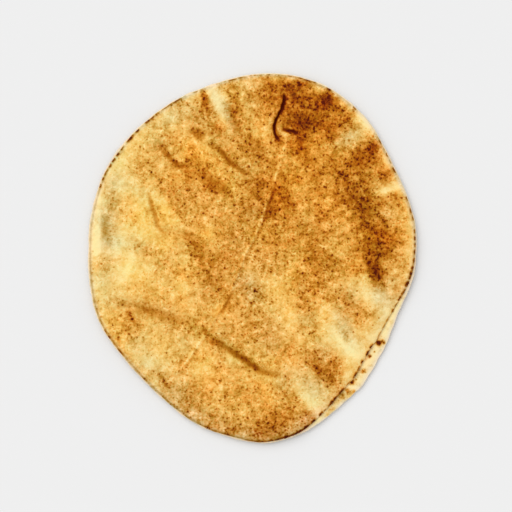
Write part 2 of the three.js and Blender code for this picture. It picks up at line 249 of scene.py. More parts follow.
PALE_PATCHES = {
    "top and upper left": [
        (-70, 112, 36, 14, 35, -20), (-106, 60, 18, 13, 60, -15), (-93, 55, 16, 10, -30, -15),
        (-70, 44, 36, 8, -57, -20), (-88, 45, 12, 9, -15), (-115, 72, 34, 14, 60, -10),
        (-70, 76, 14, 13, -8), (-40, 88, 16, 12, 60, -10), (-60, 104, 12, 10, -10),
        (-52, 132, 14, 10, 30, -12), (8, 101, 20, 10, -20, -15), (2, 136, 12, 10, -15),
    ],
    # Along the left edge the pale band is pale crust and partly painted highlight on the rim's fold
    "left": [
        (-125, 44, 36, 8, 80, -18), (-86, 23, 14, 10, -12), (-104, 11, 22, 11, -15, -15),
        (-99, -7, 18, 10, -20, -15), (-106, -15, 16, 10, -15), (-54, -22, 16, 12, -18),
        (-124, -28, 10, 20, -10), (-126, 12, 26, 12, 88, -20), (-114, 5, 22, 7, -10),
        (-93, 0, 16, 8, -10, -12), (-127, -16, 14, 10, 90, -8), (-95, -42, 16, 6, -10),
        (-118, -42, 10, 14, -8),
    ],
    "lower left": [
        (-82, -80, 34, 16, -30, -15), (-51, -66, 16, 10, -10), (-62, -110, 14, 10, -15),
        (-44, -121, 16, 10, -15), (-25, -131, 14, 8, -12), (-60, -45, 30, 9, -15, -5),
        (-75, -99, 10, 8, -10), (-86, -87, 15, 10, -10),
    ],
    "middle": [
        (-3, -12, 12, 10, -10), (-38, -70, 16, 10, -30, -14), (-41, -89, 18, 12, -12),
        (24, -38, 30, 34, 20, -14), (18, -20, 15, 14, -8), (11, -97, 12, 8, -10),
    ],
    "right": [
        (83, 98, 34, 13, 28, -28), (88, 114, 40, 13, -48, -32), (111, 55, 24, 10, 12, -30),
        (107, 58, 14, 9, -12), (118, 35, 22, 12, 80, -12), (110, 77, 10, 8, -15),
        (126, 29, 10, 16, -15), (126, 5, 9, 14, -15), (75, 24, 16, 12, -14), (62, 13, 18, 10, -12),
        (43, 33, 14, 12, -12), (92, -18, 14, 8, -70, -15), (108, -22, 10, 9, -12),
    ],
    "lower right": [
        (97, -31, 38, 14, -36, -28), (70, -60, 48, 22, -55, -26), (80, -72, 16, 12, -60, -15),
        (46, -108, 42, 15, -55, -30), (90, -52, 24, 18, -30, -18), (104, -60, 12, 10, -12),
        (60, -70, 26, 18, -60, -12), (62, -38, 14, 10, -10), (74, -97, 14, 9, -50, -18),
        (48, -87, 13, 8, -40, -12), (36, -127, 22, 20, -12), (97, -65, 8, 8, -20),
        (77, -90, 7, 15, -15, -15), (60, -110, 10, 9, -13), (53, -93, 9, 8, -10), (39, -77, 7, 11, -15),
        (17, -84, 10, 9, -13), (-16, -82, 9, 8, -12), (-28, -95, 15, 11, -10), (30, -50, 21, 26, -13),
        (28, -62, 9, 8, -8), (23, -22, 17, 11, -13),
    ],
    "upper right, finer": [
        (25, 99.5, 9, 4, -18, -32), (64, 110, 9, 9, -15), (78, 106, 15, 8, 20, -14),
        (52, 132, 15, 9, -20, -10), (47, 93, 10, 17, -18), (13, 100, 6, 17, -20),
        (-8, 118, 13, 11, -40, -14), (-1, 108, 10, 16, -14), (-50, 133, 16, 7, 25, -8),
        (85, 70, 11, 9, -10), (76, 68, 11, 9, -12), (74, 55, 11, 9, -10), (104, 59, 13, 10, -18),
        (62, 42, 8, 9, -15), (71, 38, 10, 7, -10), (100, 36, 15, 10, -60, -15), (91, 18, 9, 8, -15),
        (73, 7, 15, 10, -11), (91, -10, 8, 23, 10, -22), (105, -25, 10, 9, -18),
        (112, -32, 13, 11, -10), (10, 45, 9, 8, -12), (45, 52, 9, 17, -15), (28, 4, 12, 8, -15),
        (-58, 82, 13, 11, -12), (-38, 66, 9, 8, -10), (-32, 22, 11, 19, -15), (-50, -40, 15, 15, -10),
        (-24, -15, 10, 7, -12), (-9, -48, 7, 7, -12), (0, 14, 7, 18, -10), (-2, -8, 10, 9, -6),
    ],
}
# Small places that keep their form, darker or paler than the crust round them
SMALL_MARKS = {
    # A pale streak down a fold, pale crust partly painted highlight, brown crust to its left and painted
    # shade to its right
    "streak at the top": [
        (-29, 126, 30, 9, -62, -36), (-20.5, 108.5, 18, 7, -70, -20), (-23, 129, 12, 8, -60, -20),
        (-18, 129, 8, 9, -20), (-37.5, 130, 12, 5, -80, 45), (-35.5, 121, 14, 6, -78, 42),
        (-16, 115, 26, 8, -66, 20), (-24, 105, 9, 7, 20), (-18.5, 119, 12, 6, -66, 14),
        (-27, 139, 12, 4, 15, -12), (-19.5, 125, 6, 8, -20), (-14, 107, 8, 14, -10),
    ],
    "round the pinch fold": [
        (20.5, 92.5, 6, 6, 28), (26, 118, 6, 10, 15), (24, 133, 7, 7, -16), (14, 127, 7, 9, -10),
        (42, 95, 8, 9, 38), (42, 138.5, 9, 6, 12), (47, 115, 7, 10, 14), (52, 129.5, 18, 6, -17),
        (35, 142, 8, 6, -10), (28, 134, 14, 6, -20, 16), (30, 91, 7, 7, 16), (17, 78, 12, 6, 15, 20),
        (1, 97, 7, 7, 12), (36, 96, 6, 8, -12), (45, 97, 10, 6, -10), (64, 122, 12, 12, 14),
        (30, 85, 11, 8, -10), (53, 88, 9, 12, -9),
    ],
    "upper left": [
        (-62, 117, 26, 8, 10, 10), (-5, 103, 22, 10, -55, 11), (-72, 84, 12, 10, -40, 16),
        (-60, 72, 9, 9, 14), (-87, 70, 9, 13, 11), (-35, 71, 9, 8, 16), (-25, 76, 10, 8, 12),
        (-34, 54, 14, 9, -30, 15), (-12, 70, 14, 10, -40, 10), (-52, 53, 7, 9, 13), (-48, 46, 9, 6, 10),
        (-74, 38, 8, 13, 16), (-55, 34, 12, 8, -20, 19), (-38, 34, 9, 8, 14),
        (-10, 89, 12, 9, -30, -17), (-30, 85, 12, 7, -30, -14), (-49, 99, 12, 8, -20, -10),
        (-16, 97, 7, 9, -10), (-55, 80, 8, 7, -10), (-48, 64, 8, 9, -10), (-45, 130, 9, 7, 20, -11),
        (-31, 27, 9, 9, -11), (-5, 135, 12, 9, -9), (-76, 96, 14, 12, 9), (-43, 118, 9, 12, 10),
        (-84, 62, 26, 8, 15, 12), (-95, 51, 26, 8, -20, 8), (-65, 86, 12, 6, -12),
        (-41, 69, 7, 12, -12), (5, 84, 16, 6, -10, -10), (-107, 61, 7, 7, 10), (-72, 90, 4, 4, 25),
        (-68, 83, 8, 5, -55, 14), (-62, 77, 6, 4, -40, 16), (-56, 75, 9, 4, -10, 16),
    ],
    "left": [
        (-70, -4, 9, 10, -40, 17), (-20, 13, 8, 8, 12), (-21, 2, 8, 8, 12), (-40, -3, 12, 6, -10, 13),
        (-32, -18, 8, 10, 20, 18), (-30, -7, 8, 8, 11), (-55, -52, 14, 9, 16),
        (-42, -49, 10, 7, 30, 13), (-66, -56, 12, 8, 10), (-96, -58, 14, 7, 10),
        (-107, -68, 12, 8, -30, 10), (-104, -77, 8, 7, 11), (-55, -83, 9, 9, 28), (-75, -30, 12, 14, 9),
        (-92, -44, 8, 8, -15), (-115, 41, 8, 7, -11), (-124, 6, 8, 10, -11),
        (-110, 14, 20, 12, -30, 12), (-100, 20, 12, 8, -10), (-80, 8, 14, 8, 8),
        (-110, -36, 14, 14, 10), (-98, -45, 6, 12, 10), (-40, 9, 24, 7, -25, 9), (-50, -62, 8, 14, 12),
        (-38, -59, 22, 5, 8), (-84, -72, 14, 12, 8), (-75, -93, 14, 16, 8), (-92, 0, 9, 7, -10),
        (-63, -12, 9, 7, -10), (-40, -20, 8, 8, -11), (-27, -40, 20, 8, 62, -14),
        (-22, -57, 7, 10, -11), (-73, -67, 12, 8, -10), (-38, -131, 8, 6, -20), (-75, -104, 9, 9, -12),
        (-58, -115, 8, 8, -10), (-124, -44, 6, 8, 12),
    ],
    "middle": [
        (-36, -59.5, 2.5, 5, 10, 32), (-31, -66, 12, 9, -30, 12), (-17, -17, 9, 9, -20),
        (1, -17, 8, 14, -18), (0, -47, 12, 8, -20, 15), (-2, -59, 12, 7, 13), (-12, -65, 10, 9, -11),
        (0, -75, 9, 7, -12), (5, -93, 12, 6, -20, -10), (5, -85, 12, 6, -20, 11), (-25, -88, 8, 9, 14),
        (-18, -112, 12, 8, 14), (-5, -108, 10, 10, 11), (-25, -104, 10, 8, -10),
        (30, -72, 10, 10, 30, 26), (22, -80, 14, 8, 20, 10), (15, -142, 14, 6, 15), (5, 70, 9, 8, -17),
        (2, 81, 9, 7, 14), (25, 22, 10, 8, -12), (45, 21, 12, 7, -14), (30, 11, 24, 8, 11),
        (12, 10, 7, 12, 10), (52, 8, 7, 10, 14), (65, 18, 12, 6, 15), (44, 25, 8, 7, 14),
        (52, 35, 7, 8, 12), (14, 33, 12, 6, -12), (-8, -46, 8, 7, -12), (-16, -82, 7, 12, 30, -12),
        (12, -94, 20, 6, -5, -12), (-7, -77, 7, 7, 12),
    ],
    "right": [
        (57, 66, 10, 7, 17), (70, 61, 10, 9, -30, 10), (68, 79, 9, 9, 12), (38, 80, 12, 6, 11),
        (50, 76, 12, 7, 11), (34, 64, 16, 6, -15, 11), (95, 46, 8, 9, 14), (90, 36, 8, 10, 11),
        (110, 67, 7, 8, 12), (68, -7, 12, 8, 19), (81, -9, 9, 8, 17), (105, -15, 8, 10, 8),
        (111, -14, 9, 12, -14), (56, -5, 9, 9, -12), (66, 26, 9, 6, -12), (82, -18, 6, 7, -14),
        (106, -22, 7, 7, -10), (78, 46, 14, 6, -20, 12), (95, 60, 12, 6, 9), (124, 33, 8, 10, 12),
        (107, 10, 7, 7, 12), (74, 5, 10, 6, -10), (82, 62, 8, 12, -12), (75, 53, 10, 7, -10),
        (88, 50, 8, 8, -12), (100, 37, 8, 8, -10), (92, 17, 10, 8, -15), (100, 9, 9, 12, -17),
        (44, 36, 7, 9, -11), (45, 58, 7, 9, -10), (128, 20, 8, 20, -10),
    ],
    "lower right": [
        (66, -26, 10, 8, -17), (50, -22, 12, 6, -11), (40, -13, 9, 7, -11), (62, -35, 8, 8, -10),
        (52, -13, 9, 7, 12), (38, -23, 8, 8, 12), (52, -60, 9, 8, 18), (47, -78, 7, 9, 12),
        (70, -86, 10, 12, 20), (65, -100, 10, 8, 20, 14), (38, -115, 9, 8, 12),
        (43, -130, 12, 6, 20, 13), (29, -129, 8, 12, 11), (55, -77, 8, 8, -10), (92, -57, 10, 8, -9),
        (80, -90, 6, 10, -10), (45, -113, 7, 7, -12), (67, -106, 8, 8, -10), (-4, -78.5, 9, 4, -37, 18),
        (-3, -88, 9, 4, -37, 10), (78.5, -72.5, 17, 5, -47, -20), (54, -89.5, 11, 4.5, -50, 20),
        (60, -94, 6, 6, -15), (-97.3, -44.6, 4, 4, 22), (-95.3, -49, 4, 4, 42),
        (-84, -42, 7, 4, -20, 16), (-106, -64, 4, 4, 40), (-69, -99.5, 11, 4, -58, 30),
        (109, 54.5, 15, 7, 20, -6), (47, -115, 5, 5, -10), (53, -123, 8, 4, -50, -16),
        (36, -107, 6, 4, -50, -12), (41, -106.5, 6, 4, -50, 9), (46, -103, 7, 5, -40, 12),
    ],
    # The fold by the left edge: a painted highlight on its side towards the light, and less toast on its
    # other side, where SOFT_SHADES paints its shade
    "fold by the left edge": [
        (-122.5, 21, 34, 4.5, 88, -20), (-117, 26, 15, 6, 84, -10), (-117, 5, 7, 8, -10),
    ],
}
# Soft shading beside folds, without specks: x, y, length, width, turn, tone added
SOFT_SHADES = [(-117.3, 25, 18, 5, 82, 0.26), (-114, 17, 16, 8, 80, 0.12)]
# Where crust is greyer, much of it painted shade in hollows and on the sides of folds turned from
# the light, or, below zero, a deeper yellow: everywhere, and in places
DULL_BASE = -0.05
GREY_AND_SHADE_PATCHES = {
    "broad": [
        (-117, 22, 20, 6, 84, 30), (-85, 0, 110, 300, 5), (42, 80, 60, 80, -40),
        (-30, 72, 40, 24, -30, -60), (10, -140, 90, 12, 50),
    ],
    "upper left": [
        (-18, 115, 28, 8, -66, 120), (-29, 125, 34, 12, -64, 90), (-46, 122, 24, 20, 50),
        (-63, 112, 26, 12, 35, 70), (-80, 106, 16, 8, 40, 30), (-66, 85, 18, 20, 35),
        (-107, 62, 28, 16, 50, 80), (-88, 34, 24, 14, -60, -70), (-68, 36, 26, 14, -60, -80),
        (-52, 132, 16, 8, 30, 60), (-28, 93, 18, 26, 35), (0, 139, 22, 10, 70), (-18, 57, 14, 12, -30),
        (-50, 87, 24, 14, -40), (-10, 72, 16, 10, 35), (-57, 64, 26, 12, -45), (-103, 72, 16, 12, -30),
        (-76, 93, 12, 12, 50), (-36, 127, 9, 14, -70), (-45, 82, 32, 20, -30), (-5, 68, 14, 12, 30),
        (-24, 108, 10, 14, 20, -50), (-42, 109, 16, 14, 40), (-65, 117, 12, 12, 40),
        (0, 36, 16, 14, 45), (0, 125, 12, 14, 40), (-27, 135, 12, 7, 20, 50), (-41, 127, 8, 12, -50),
    ],
    "left": [
        (-112, 30, 56, 16, 88, 120), (-90, 10, 26, 12, 70), (-122, 32, 12, 26, 60),
        (-114, 13, 18, 12, 90), (-98, -5, 14, 12, -50), (-87, -14, 22, 8, -50), (-56, -20, 10, 24, -40),
        (-66, -53, 14, 14, 40), (-64, -97, 10, 16, -50), (-88, -24, 52, 16, -10, -35),
        (-92, 55, 18, 9, -20, 40), (-118, 30, 9, 14, 60), (-89, -65, 14, 14, 50),
        (-86, -85, 12, 10, 40), (-105, -68, 12, 12, -40), (-24, -42, 12, 10, -50),
        (-73, 12, 20, 14, -70), (-103, 28, 14, 16, -40), (-85, 22, 14, 12, -40), (-36, 19, 12, 14, -50),
        (-122, -18, 14, 12, 50), (-108, -34, 26, 14, 40), (-28, -97, 12, 24, -30),
        (-116, -18, 18, 30, 50), (-110, -50, 16, 20, -40), (-50, -42, 16, 12, -30),
        (-82, -42, 40, 12, 30), (-34, -22, 40, 12, 55, 40), (-48, -10, 20, 20, -30),
        (-35, 20, 20, 14, -30, -30),
    ],
    "lower left": [
        (-84, -80, 34, 16, -35, 50), (-61, -107, 38, 20, -42, 120), (-44, -125, 30, 12, -20, 70),
        (-22, -66, 12, 16, 50), (-52, -70, 16, 20, 40), (-24, -131, 24, 10, -10, 60),
        (-40, -82, 18, 30, -50),
    ],
    "middle": [
        (-2, -21, 18, 13, -40, 100), (3, -31, 14, 10, 70), (0, 60, 18, 16, 35), (5, 38, 14, 12, 30),
        (10, -4, 20, 14, 30), (0, -45, 30, 16, 20), (10, 20, 20, 14, -35), (36, -14, 16, 40, -10, -45),
        (16, -68, 14, 12, 50), (8, -100, 26, 12, -20, -35), (10, 100, 14, 22, -45),
    ],
    "right": [
        (77, 96, 22, 12, 30, 90), (80, 52, 24, 18, 40), (105, 34, 28, 12, 50), (42, 28, 14, 10, 40),
        (84, -8, 14, 18, -45), (70, 9, 16, 12, -30), (65, 46, 24, 16, -30), (72, 33, 22, 16, -40),
        (98, 19, 14, 20, -40), (22, 50, 12, 20, -80), (38, 88, 14, 10, -70), (34, 62, 16, 14, -40),
        (52, 95, 14, 10, -40), (108, 17, 34, 9, -50), (112, -20, 18, 12, 50), (75, -28, 12, 14, 30),
        (50, -25, 8, 20, -40), (40, -22, 7, 24, 35), (-10, 12, 12, 20, 35), (13, -112, 10, 18, -40),
        (27, -103, 10, 12, 40), (85, 90, 16, 12, 40), (20, 112, 10, 16, 30), (30, 131, 12, 12, 40),
        (5, 82, 12, 16, 35), (20, -25, 12, 14, -40), (-5, -25, 16, 20, 35), (14, -54, 16, 16, 35),
        (18, -83, 12, 12, -50), (33, -82, 14, 12, -50), (103, -38, 10, 18, 60), (82, -38, 12, 12, 50),
        (60, -42, 10, 22, -40), (30, -46, 10, 16, -40), (120, 35, 12, 32, -50), (99, -15, 12, 22, 40),
        (104, 76, 10, 16, -40), (92, -22, 10, 14, -40), (60, 124, 30, 14, -30, -30),
        (20, 140, 24, 8, -35),
    ],
    "lower right": [
        (103, -30, 26, 14, -35, 110), (110, -42, 26, 10, 60, 50), (82, -28, 14, 16, 50),
        (75, -58, 34, 14, -62, 140), (60, -44, 14, 16, -30), (56, -76, 20, 20, -50, 70),
        (46, -50, 14, 12, 40), (5, -141, 50, 9, 100), (45, -128, 20, 12, 30, 50),
        (60, -96, 20, 16, -30, 40), (75, -108, 16, 10, 40, 60), (49, -104, 36, 16, -50, 110),
        (24, -95, 14, 22, 40), (46, -130, 44, 12, 24, 100), (78, -92, 12, 26, -30, -20),
    ],
}
# Where crust is more lemon yellow than orange, or, below zero, redder
YELLOW_PATCHES = {
    "upper left": [
        (-85, 100, 40, 18, 35, 35), (-65, 113, 14, 10, 30), (-17, 76, 26, 10, -50, 40),
        (4, 80, 24, 12, -20, 50), (-30, 92, 34, 12, 20), (-73, 90, 12, 20, 30, 30),
        (-28, 98, 24, 14, 20), (-10, 110, 14, 14, 25), (-5, 58, 20, 26, 25), (-35, 122, 12, 20, -25),
        (-75, 73, 30, 10, 20, -20),
    ],
    "left": [
        (-119, 28, 16, 10, 84, 30), (-115, 10, 14, 16, -40), (-75, 14, 34, 12, -10, 40),
        (-95, 26, 26, 12, -20, 30), (-119, 58, 10, 14, -30), (-113, 47, 12, 14, 60),
        (-99, 96, 30, 5, 50, 80), (-114, 75, 34, 5, 62, 80), (-95, -8, 36, 10, 40),
        (-60, -28, 22, 18, 45), (-107, 76, 14, 22, -30, 50), (-63, 72, 12, 18, 30),
        (-41, -50, 10, 16, 35), (-75, -100, 16, 12, 30), (-76, 35, 22, 20, 50), (-95, 8, 30, 12, 30),
        (-57, 18, 12, 10, 30), (-120, -22, 12, 24, 30), (-100, -44, 30, 14, 25), (-55, 62, 16, 14, -30),
        (-33, 50, 14, 14, -25), (-110, 14, 20, 14, -30, 50), (-95, 48, 30, 26, -20, 45),
        (-80, -5, 50, 12, 20), (-112, -32, 20, 16, 35), (-85, -64, 50, 20, -20, 50),
        (-62, -55, 20, 16, 30), (-42, -10, 18, 14, -20), (-90, -25, 16, 18, -20),
    ],
    "middle": [
        (-13, -18, 9, 12, -50), (15, -34, 12, 14, 40), (14, -55, 24, 14, -50), (-18, -5, 20, 16, 20),
        (-12, -35, 14, 12, 25), (8, -12, 24, 14, -25), (4, 18, 14, 12, -30), (20, 60, 16, 36, -25),
        (42, 57, 10, 16, -30),
    ],
    "right": [
        (75, 84, 40, 12, 20, 35), (48, 76, 20, 8, 25), (92, 35, 16, 50, 100), (96, 16, 14, 20, 40),
        (75, -17, 12, 14, 30), (98, -8, 12, 20, -30, 80), (59, 50, 14, 14, 40), (58, 32, 10, 14, 40),
        (37, 34, 12, 14, 25), (98, 88, 10, 12, -40), (42, 59, 8, 12, -30), (42, 110, 24, 10, 35),
        (14, 100, 14, 24, -35), (50, 97, 40, 8, -10, -25), (42, 124, 24, 12, -30),
        (67, 30, 12, 40, -25), (118, 45, 14, 20, -25), (52, -20, 22, 36, -45), (113, -30, 14, 14, -30),
    ],
    "below": [
        (64, -62, 46, 14, -15, 10), (8, -65, 20, 14, -40), (38, -84, 30, 16, -40),
        (55, -78, 12, 12, -40), (-10, -138, 40, 8, -50), (76, -107, 20, 10, 40, -80),
        (14, -140, 30, 9, -100), (47, -127, 24, 12, 30, -100), (50, -62, 16, 10, 30),
        (47, -72, 10, 12, 30), (-33, -82, 14, 10, 30), (-8, -79, 60, 7, -37, 80),
        (-24, 84, 24, 7, -50, 50), (52, -117, 14, 10, 60), (-40, -128, 22, 9, -25, -50),
        (-87, -80, 16, 14, 30), (18, -86, 30, 10, 25), (50, -50, 16, 12, 20), (-60, -82, 24, 10, 25),
        (-20, -72, 16, 10, -30, 30), (0, -84, 20, 8, -20, 30), (-5, -115, 14, 24, 30),
        (-40, -103, 10, 14, 25), (50, -90, 16, 14, 25), (22, -115, 20, 12, -25),
        (-26, -105, 10, 24, -30), (-55, -118, 50, 10, -40, -40), (55, -122, 40, 10, 35, -35),
        (100, -65, 30, 10, 60, -30),
    ],
}
# Stretches of the very edge, from and to in degrees, and their tone, a line partly of toasted crust
# and partly painted shade on the steep edge; they blend over some degrees
RIM_LINE = [
    (90, 112, 0.05), (112, 147, 0.12), (147, 157, 0.34), (157, 205, 0.22), (205, 258, 0.24),
    (258, 300, 0.21), (300, 345, 0.10), (345, 380, 0.12), (67, 76, 0.08),
]
RIM_BLEND = 3
# How greyish and how yellow the crust is just inside the seam, over a width in millimetres, where
# the greying is partly painted shade along the edge, on the edge of the lower leaf and on the
# rounded edge of the upper leaf
RIM_TINT_WIDTH = 2.2
RIM_GREY_AND_SHADE = 2.8
RIM_YELLOWNESS = -0.9
EDGE_DULLNESS = 4.6
EDGE_YELLOWNESS = -1.2
SEAM_DULLNESS = 1.6
SEAM_YELLOWNESS = -0.1
# Tone of the seam between its charred dashes, brown crust and painted shade of the gap under the
# upper leaf, and how much paler it is where it is narrow
SEAM_TONE = 0.24
SEAM_PALENESS = 0.14
# The rounded edge of the upper leaf: how far out (mm), height and charring as shares of the seam's
SEAM_PROFILE = [(0.22, 0.85, 0.95), (0.30, 0.55, 0.60), (0.18, 0.28, 0.35), (-0.05, 0.10, 0.30)]
# Dashes of char along the edge of the upper leaf: x, y, length, width, tone
SEAM_MARKS = [
    (-60, 127, 5, 2.0, 0.7), (-66, 123.5, 6, 1.2, 0.4), (-70, 120, 4, 1.0, 0.35),
    (-76, 116, 2.5, 1.2, 0.4), (-80, 113.5, 3, 1.6, 0.5), (-84, 110.5, 4, 1.8, 0.65),
    (-92, 103, 3.5, 2.2, 0.75), (-98, 97, 7, 2.5, 0.8), (-104, 88.5, 3.5, 2.1, 0.7),
    (-107.5, 83.5, 3, 2.2, 0.75), (-111, 79, 3.2, 2.3, 0.8), (-114, 74.5, 2.8, 2.2, 0.85),
    (-117, 69, 5, 1.5, 0.45), (-119.5, 64, 2.4, 1.7, 0.6), (-122.3, 58.5, 2.6, 1.8, 0.65),
    (-113.5, -63, 2.4, 1.8, 0.55), (-116.5, -58, 2, 1.2, 0.5), (-105, -74, 6, 1.5, 0.35),
    (-35, -135, 4, 2.2, 0.5), (-30, -137.5, 4, 1.2, 0.3), (-20, -141, 6, 1.6, 0.3),
    (0, -146.5, 10, 0.9, 0.35), (10, -146.5, 20, 1.0, 0.45), (20, -146, 8, 1.0, 0.5),
    (34, -141.5, 26, 1.3, 0.85), (28, -143.5, 3, 1.8, 1.2), (33, -141.5, 4, 1.6, 0.9),
    (38, -139, 5, 1.8, 1.0), (43.5, -134, 4, 2.0, 1.2), (49.3, -129.6, 4, 2.2, 1.2),
    (55.5, -124, 3.5, 2.2, 1.1), (58.5, -121, 2.5, 1.0, 0.5), (63.5, -116, 5, 2.4, 1.0),
    (67.5, -111.5, 5, 1.8, 0.9), (71.5, -106, 5, 2.0, 1.0), (77, -98.5, 4, 1.0, 0.4),
    (81, -91, 5, 2.0, 0.85), (84.5, -87, 4, 1.4, 0.7), (88, -82.5, 3, 2.0, 0.85),
    (92, -75, 5, 1.8, 0.9), (95.5, -70, 4, 2.4, 0.95), (101, -60, 6, 1.0, 0.35),
    (105, -54, 5, 0.9, 0.3), (109, -49, 5, 1.2, 0.45), (113, -42, 3, 1.6, 0.6), (116, -37, 4, 1.0, 0.5),
    (118.5, -32, 4, 1.8, 0.8), (121, -27, 5, 1.6, 0.7), (123.5, -20.5, 4, 2.6, 0.95),
    (125.3, -15.5, 2.4, 1.4, 0.6), (126.8, -11.8, 3.4, 2.0, 0.85), (128, -7.5, 3, 1.7, 0.85),
    (129, -2, 4, 1.5, 0.75), (130, 5, 3.5, 1.4, 0.7), (130.3, 10.5, 3, 1.3, 0.65),
    (130.3, 16, 3, 1.3, 0.65), (130, 21.5, 3, 1.3, 0.6), (128, 32, 4, 1.3, 0.45),
    (126.8, 38, 4, 1.6, 0.5), (124, 47.5, 3, 1.8, 0.6), (113, 69.5, 4, 1.8, 0.65),
    (109.5, 76, 3, 1.0, 0.3), (107.5, 82, 3, 1.2, 0.4), (102, 91.5, 3, 1.0, 0.3),
    (81.5, 118.5, 3, 2.0, 0.6), (62, 135, 3, 1.8, 0.6), (50, 139.5, 3, 1.2, 0.25),
    (45, 142.8, 4, 1.4, 0.85), (40, 144.5, 4, 1.0, 0.3), (31, 146.5, 3, 1.0, 0.4),
    (-15, 142.5, 6, 1.2, 0.4), (-8, 143, 4, 1.0, 0.3), (-45, 133.5, 4, 1.2, 0.35),
]
# How much paler the top is along its rim, on average and by direction
PALE_RIM = 0.07
PALE_RIM_SWING = 0.09
PALE_RIM_ANGLE = 20
PALE_RIM_WIDTH = 5
# The strip of the lower leaf beyond the seam
STRIP_TONE = -0.03
STRIP_DULLNESS = 0.9
STRIP_YELLOWNESS = -0.2
# Spots on the strip: x, y, diameter, tone
STRIP_SPOTS = [
    (101.9, -68, 3.6, 1.2), (106.3, -67.8, 2.2, 0.55), (105, -65.8, 2.2, 0.4), (103, -67.5, 8, 0.3),
    (98.6, -75, 1.8, 0.5), (97, -72.6, 1.6, 0.4), (94.8, -78.6, 3, 1.05), (92, -81, 2, 0.4),
    (89.5, -90.5, 4.4, 0.55), (92.5, -90.5, 4, 0.2), (95, -86, 5, 0.14), (80.8, -99.3, 4.6, 0.85),
    (83.6, -97.2, 2, 0.45), (77, -106, 4.4, 0.65), (81.6, -106.6, 3.6, 0.55), (73, -104.5, 4, 0.4),
    (72, -110, 6, 0.4), (78, -109.5, 4, 0.3), (68, -114.5, 5, 0.3), (60.5, -125, 5, 0.45),
    (62.5, -121.5, 3, 0.3), (113, -42, 2.2, 0.6), (112.5, -51, 4, 0.25), (103, -62, 5, 0.15),
    (121, -31.5, 3, 0.35), (86, -101, 5, 0.2), (99, -82, 3, 0.12), (108, -57, 4, 0.15),
    (87, -95, 4, 0.15), (65, -120, 4, 0.25), (80, -109, 8, 0.2), (74, -114, 9, 0.15),
    (66, -121, 9, 0.15),
]
# Least tone of the spots that are blisters too, and how large and dark a blister is to its spot
STRIP_BLISTER_TONE = 0.5
STRIP_BLISTER_SHARE = 0.8
# Height over the table from which the single blisters are set down on the crust
ABOVE = 30.0
# Single large blisters on the top: x, y, diameter
LARGE_BLISTERS = [
    (5.3, -24.5, 2.6), (19.5, 38, 3), (8.7, 27, 2.6), (4, 77, 2.4), (45, 73, 2.4), (17, 4, 2.2),
    (41, -12, 2.4), (33, -15, 2.2), (84, -6.5, 2.2), (38, -28, 2.2), (46, -39.5, 2.8), (22, -45.5, 2.2),
    (43, -55, 2.8), (49, -59.5, 2.4), (4, -65.5, 2.4), (80, -30, 2.6), (84, -26, 2.2), (68, -35.5, 2.4),
    (77, -37.5, 2.6), (66, -81.5, 2.4), (13, -104.5, 2.2), (27, -94.5, 2.4), (30, -96.5, 2.2),
    (-97, -44, 3.4), (-95, -48.5, 3.2), (-96.5, -38.5, 2.4), (-102.5, -37, 2.6), (-106, -63, 2.8),
    (-70, -98, 3.2), (-55, -52, 3), (-64, -18, 2.4), (-63, -24.5, 2.4), (-45.5, -20, 2.4),
    (-85.5, -26, 2.4), (-32.5, -20.5, 2.4), (-41.5, -1.5, 2.4), (-43, -12, 2.4), (-66, 5, 2.2),
    (-14.5, -53, 2.2), (-33, -124, 2.6), (-9, -132.5, 2.4), (-3, -127, 2.4), (-4, 67, 2.4),
    (-6, 40, 2.2), (-3, 30, 2.2), (-48.5, 75, 2.8), (-72.5, 60, 3), (-57, 55.5, 2.6), (-51, 54.5, 2.8),
    (-43, 124, 2.8), (-47, 103, 3), (-39, 100, 2.6), (-71, 90, 2.8), (-62, 78, 2.6), (103, 64, 3.4),
    (107, 66, 2.4), (102, 3, 3.2), (115.5, 47.5, 3), (109, 49, 2.2), (120, 48, 2.4), (120, 19, 2.6),
    (57, 124, 3.6), (62, 129, 3.8), (65, 131, 2.6), (61, 113, 3), (78, 111, 3), (81, 118.5, 2.4),
    (97, 97, 2.8), (94, 87, 3.6), (96, 90.5, 2.8), (85, 75, 3.2), (71, 67, 2.8), (50, 103, 3),
    (62, 101, 2.8), (70.5, 106.5, 2.6), (92, 55, 2.8), (67, 47, 2.4), (47, 127, 2.8), (38, 129, 2.4),
    (33, 134, 2.6), (27, 137, 2.8), (97, -8, 3),
]

# Where the tone of the long ridge changes, as shares of the way down it: its head, the stretch
# where it fades and returns, its foot, a brown step beside it, and its flank's darkest place; the
# step and the flank are painted shade, the pale crest partly a painted highlight
RIDGE_HEAD_ENDS = (0.12, 0.17)
RIDGE_FADES = (0.46, 0.55)
RIDGE_RETURNS = (0.76, 0.82)
RIDGE_FOOT_STARTS = (0.80, 0.90)
STEP_STARTS = (0.60, 0.65)
STEP_ENDS = (0.68, 0.735)
FLANK_DARKEST = 0.27
# Tone of the underside and of its very middle, and what its brown patches add
UNDERSIDE_TONE = 0.27
UNDERSIDE_MIDDLE_TONE = 0.3
UNDERSIDE_PATCH_TONE = 0.30
# How dark the shade at the foot of the seam is, and how far over the strip it reaches
FOOT_SHADE = 0.22
FOOT_SHADE_SHARE = 0.12
# How dark the top is beside a dash of char, as a share of the dash's tone
CHAR_SHADE = 1.25
# Waves of noise below: amount, cell in mm and seed. These move the marks about on the crust
BROAD_WARP = [(3.0, 14, 3), (1.5, 6, 5)]
SMALL_WARP = [(1.2, 5, 9)]
SHADE_WARP = [(0.7, 5, 7)]
GREY_AND_SHADE_WARP = [(2.0, 9, 15)]
YELLOW_WARP = [(2.0, 9, 17)]
# These make the tone of the top uneven
TOAST_DRIFT = [(0.03, 22, 11), (0.03, 9, 12)]
# How steeply a mark fades towards its rim
MARK_SOFTNESS = 0.8


